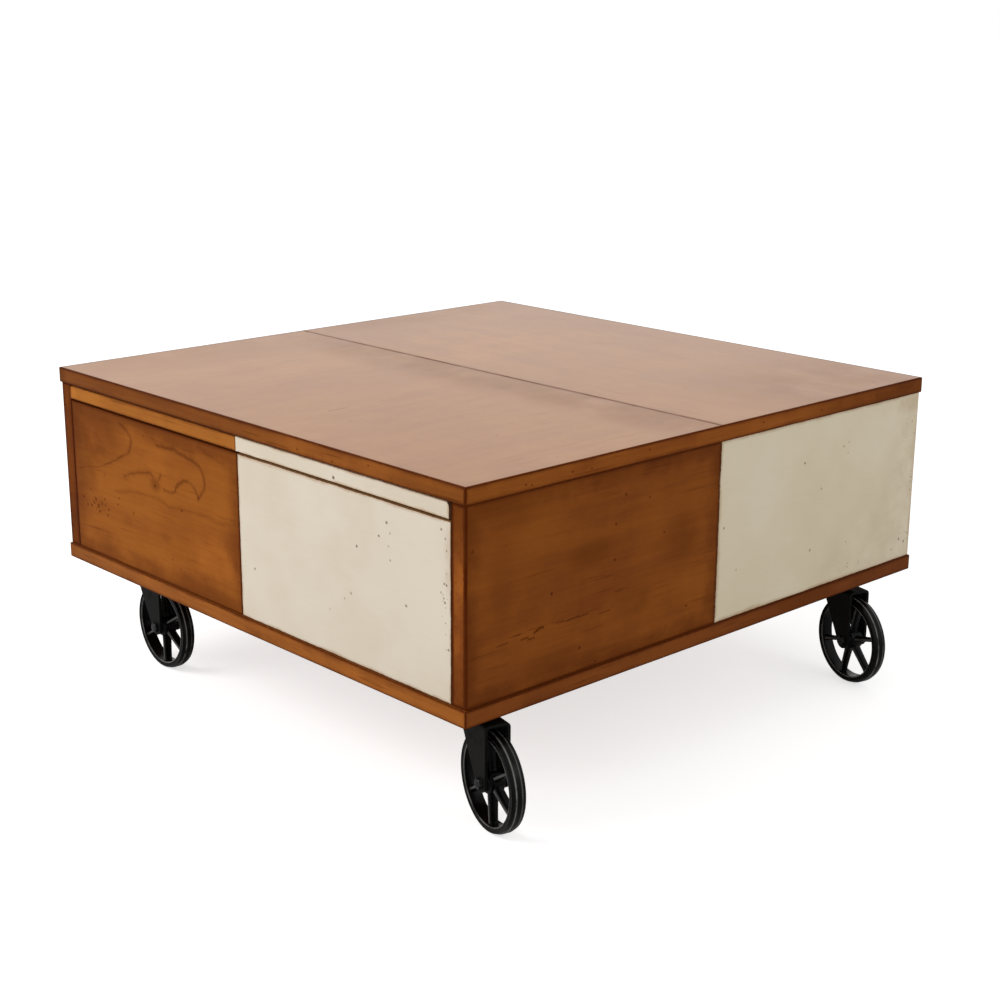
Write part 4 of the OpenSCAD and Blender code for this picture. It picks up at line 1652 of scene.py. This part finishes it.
def side_panels() -> Parts:
    """The six panels of the right, left and back sides.

    Returns:
        The parts.
    """
    right_wood = StainedCherry(
        grain=Axis.Y, light=linear(150, 84, 29), deep=linear(118, 60, 24), fibre=0.32, halo=0.03,
        line=0.0018, shift=(7.0, 2.0, 9.0), waver=0.006,
        strong=patches((-447.5, 310, 6, 600, 1.2)),
        lines=(growth((-336, 255), (-327, 258), (-322, 258), strength=1.0, width=1.4, soft=3.5),
               *dashes((-271, 256, 11), (-293, 257, 7), (-352, 251, 6), (-341, 248, 5),
                       strength=0.95),
               *dashes((-389, 252, 9), (-214, 251, 9), (-249, 256, 6), (-187, 274, 8),
                       strength=0.6)),
        cracks=patches((-345, 257, 45, 4), (-275, 258, 50, 5), (-210, 255, 30, 4),
                       (-190, 275, 30, 6, 0.6)),
        clouds_and_shade=patches((-234, 334, 70, 30, 0.5), (-160, 254, 50, 30, 0.5), (-70, 320, 50, 50, 0.5),
                       (-390, 330, 25, 100, 0.3), (-300, 210, 80, 20, 0.4),
                       # the last patch is painted shade at the top of the stile, under the top slab
                       (-400, 410, 120, 30, 0.5), (-447.5, 430, 4, 50, 0.6)),
        glows=patches((-447.5, 300, 5, 150), (-447.5, 310, 5, 90, 0.8)),
        holes_at=nicks((-180, 397, 1.8), (-136, 385), (-197, 362, 1.6), (-107, 333),
                       (-198, 316, 1.6), (-384, 373, 1.3, 0.4), (-437, 377, 1.5),
                       (-308, 297, 1.9), (-334, 288, 1.3, 0.3), (-258, 215, 1.8), (-230, 190),
                       (-59, 223, 1.6)))
    right_cream = CreamPaint(
        paint=linear(233, 220, 194), shade=linear(220, 204, 172), shift=(1.0, 5.0, 2.0),
        speckled=patches((300, 203, 45, 12), (435, 220, 30, 20), (430, 380, 25, 35, 0.8),
                         (444, 300, 8, 90, 0.8)),
        stained=patches((430, 420, 90, 22, 0.35), (440, 300, 12, 160, 0.3),
                        (440, 290, 100, 200, 0.22), (360, 200, 200, 100, 0.16)),
        holes_at=nicks((181, 373, 1.4), (269, 382, 1.3, 0.6), (281, 386, 1.1, 0.5),
                       (280, 371, 1.0, 0.5), (222, 329, 1.5, 0.5), (12, 314, 1.4, 0.7),
                       (287, 238, 1.3, 0.4), (203, 243, 1.7, 0.6), (41, 250, 1.2, 0.5),
                       (421, 214, 1.6), (434, 208, 1.5), (404, 201, 1.4, 0.5)))
    left_wood = StainedCherry(
        grain=Axis.Y, light=linear(130, 67, 16), deep=linear(98, 45, 12), halo=0.02,
        shift=(5.0, 6.0, 1.0),
        lines=(growth((-40, 380), (-160, 372), (-250, 330), (-170, 280), (-40, 262)),
               growth((-40, 352), (-130, 345), (-190, 325), (-120, 300), (-40, 292)),
               growth((-430, 245), (-300, 236), (-160, 232), (-20, 228), strength=0.4)))
    back_wood = StainedCherry(
        shift=(2.0, 8.0, 3.0),
        lines=(growth((40, 370), (170, 362), (250, 320), (160, 272), (40, 255)),
               growth((40, 340), (130, 336), (180, 315), (120, 292), (40, 285)),
               growth((430, 240), (300, 232), (160, 226), (20, 222), strength=0.4)))
    return Parts(Shape.BOARD, {
        "right_panel_wood": Part("case", right_wood),
        "right_panel_cream": Part("case", right_cream),
        "left_panel_wood": Part("case", left_wood),
        "left_panel_cream": Part("case", CreamPaint(
            shift=(4.0, 2.0, 7.0), speckled=patches((400, 220, 50, 30)))),
        "back_panel_wood": Part("case", back_wood),
        "back_panel_cream": Part("case", CreamPaint(
            shift=(9.0, 2.0, 5.0), speckled=patches((-400, 350, 30, 50))))})


def fronts() -> Parts:
    """The two drawer fronts and the tray with its strip.

    Returns:
        The parts.
    """
    left = StainedCherry(
        light=linear(158, 91, 31), deep=linear(130, 67, 24), shift=(0.6, 0.2, 0.4), halo=0.04,
        halo_depth=0.5, fibre=0.46, waver=0.014, line=0.0013,
        lines=(growth((-295, 398), (-264, 386), (-260, 372), (-278, 354), (-315, 335),
                      (-364, 319), (-410, 308), strength=0.72, width=1.6, soft=8.0),
               growth((-338, 372), (-337, 360), (-367, 343), strength=0.35, soft=8.0),
               growth((-286, 321), (-248, 333), (-223, 339), (-211, 338), (-204, 323),
                      (-193, 332), (-187, 342), strength=0.66, width=1.8, soft=8.0),
               growth((-181, 323), (-156, 323), (-150, 336), (-124, 348), (-110, 344),
                      (-96, 330), strength=0.72, width=2.0, soft=6.0),
               growth((-196, 384), (-161, 386), (-131, 382), (-102, 378), (-84, 369), (-78, 353),
                      (-84, 338), (-96, 328), strength=0.68, width=2.0, soft=7.0),
               growth((-91, 401), (-63, 392), (-31, 388), strength=0.45),
               growth((-311, 293), (-234, 306), (-193, 305), (-158, 299), (-123, 304),
                      (-69, 304), (-22, 304), strength=0.45)),
        clouds_and_shade=patches((-380, 375, 120, 80, 0.8), (-60, 195, 90, 20, 0.3),
                       (-260, 420, 240, 30, 0.5), (-282, 254, 20, 12, 0.5),
                       (-182, 253, 20, 12, 0.4), (-390, 310, 40, 80, 0.6),
                       (-365, 263, 45, 20, 0.5), (-204, 325, 20, 15, 0.6)),
        glows=patches((-60, 250, 90, 45, 0.75), (-190, 355, 60, 30, 0.3)),
        wormed=patches((-362, 264, 50, 20)),
        holes_at=nicks((-204, 323, 1.8), (-265, 270, 1.7, 0.6), (-138, 301, 1.7),
                       (-167, 223, 1.5, 0.6), (-147, 214, 1.4, 0.5), (-229, 391, 1.3, 0.6),
                       (-339, 312, 1.4, 0.5), (-96, 328, 1.6), (-382, 282, 1.3, 0.6),
                       (-404, 266, 1.9), (-393, 256, 1.8), (-382, 257, 2.0), (-369, 269, 2.1),
                       (-362, 260, 2.3), (-343, 274, 1.6), (-334, 260, 1.8), (-303, 284, 1.4),
                       (-307, 274, 1.5), (-360, 252, 2.0), (-337, 251, 1.7), (-374, 262, 1.7),
                       (-352, 265, 1.5)))
    right = CreamPaint(
        # the upper edge inside the gap under the tray takes painted shade
        shift=(2.0, 1.0, 1.0), specks=0.0, line=0.0011, rub=0.005, gap_shade=0.0014, ends=0.95,
        speckled=patches((413, 300, 10, 80, 0.8)),
        stained=patches((50, 408, 100, 6, 0.45), (420, 360, 12, 60, 0.35)),
        holes_at=nicks((307, 383, 1.7), (292, 363, 1.4), (313, 371, 1.3, 0.5), (249, 340, 1.6),
                       (310, 354, 1.3, 0.4), (313, 337, 1.3, 0.6), (32, 258, 1.6, 0.7),
                       (236, 276, 1.7, 0.5), (223, 266, 1.5, 0.4), (193, 244, 1.4, 0.3),
                       (342, 287, 1.6, 0.8), (406, 397, 1.3), (413, 387, 1.3, 0.6),
                       (415, 373, 1.2, 0.6), (411, 332, 1.3), (415, 331, 1.3),
                       (405, 320, 1.3, 0.5), (410, 314, 1.2, 0.7), (412, 309, 1.4),
                       (418, 252, 1.3)))
    strip = TwoTone(
        wood=StainedCherry(
            # the darkening along the edges is painted shade of the rounded strip; the glow at its
            # left end a painted highlight
            light=linear(179, 111, 41), deep=linear(152, 87, 32), line=0.0013, halo=0.005,
            near_shade=0.004, near_shade_depth=0.5, halo_depth=0.4, face=Axis.Y, holes=0.1,
            glows=patches((-418, 424, 20, 20, 0.8)), shift=(1.0, 4.0, 6.0)),
        cream=CreamPaint(
            face=Axis.Y, line=0.0005, rub=0.0035, ends=0.9,
            stained=patches((421, 423, 5, 20, 0.5)), holes_at=nicks((208, 419, 1.9, 1.0))))
    return Parts(Shape.EASED, {
        "drawer_left_front": Part("drawer_left", left),
        "drawer_right_front": Part("drawer_right", right),
        "tray_front": Part("tray", strip),
        "tray_board": Part("tray", StainedCherry(shift=(1.0, 7.0, 2.0)), 0.0006)})


def inside_parts() -> Parts:
    """The plain wood and the small steel inside the case.

    Returns:
        The parts.
    """
    parts = {
        "centre_partition": Part("case", PlainBeech(), 0.0006),
        "tray_runners": Part("case", PlainBeech(shift=(2.0, 1.0, 0.0)), 0.0006),
        "drawer_runners": Part("case", PlainBeech(shift=(1.0, 3.0, 0.0)), 0.0006),
        "castor_kingpins": Part("case", DullSteel(), 0.0005),
        "castor_screws": Part("case", DullSteel(), 0.0004),
        "tray_stop_pegs": Part("case", DullSteel(), 0.0004),
        "panel_dowels": Part("case", PlainBeech(grain=Axis.Z), 0.0004),
    }
    for side in ("left", "right"):
        for index, part in enumerate(("outer_side", "inner_side", "back", "bottom", "dowels")):
            wood = PlainBeech(grain=Axis.X if part == "back" else Axis.Y,
                              shift=(index * 1.7, 0.0, index * 0.9))
            parts[f"drawer_{side}_{part}"] = Part("drawer_" + side, wood, 0.0005)
    return Parts(Shape.EASED, parts)


def castors() -> list[Castor]:
    """The four castors, each turned as it rests."""
    x, y = 0.371, 0.367
    return [Castor("front_left", (-x, -y), -2.0, 30.0), Castor("front_right", (x, -y), -13.5, 32.0),
            Castor("back_right", (x, y), -14.0, 16.0), Castor("back_left", (-x, y), -8.0, 5.0)]


def main() -> None:
    assemblies = [Studio(), top_slab(), bottom_slab(), side_panels(), fronts(), inside_parts(),
                  *castors()]
    for assembly in assemblies:
        assembly.make()


if __name__ == "__main__":
    main()
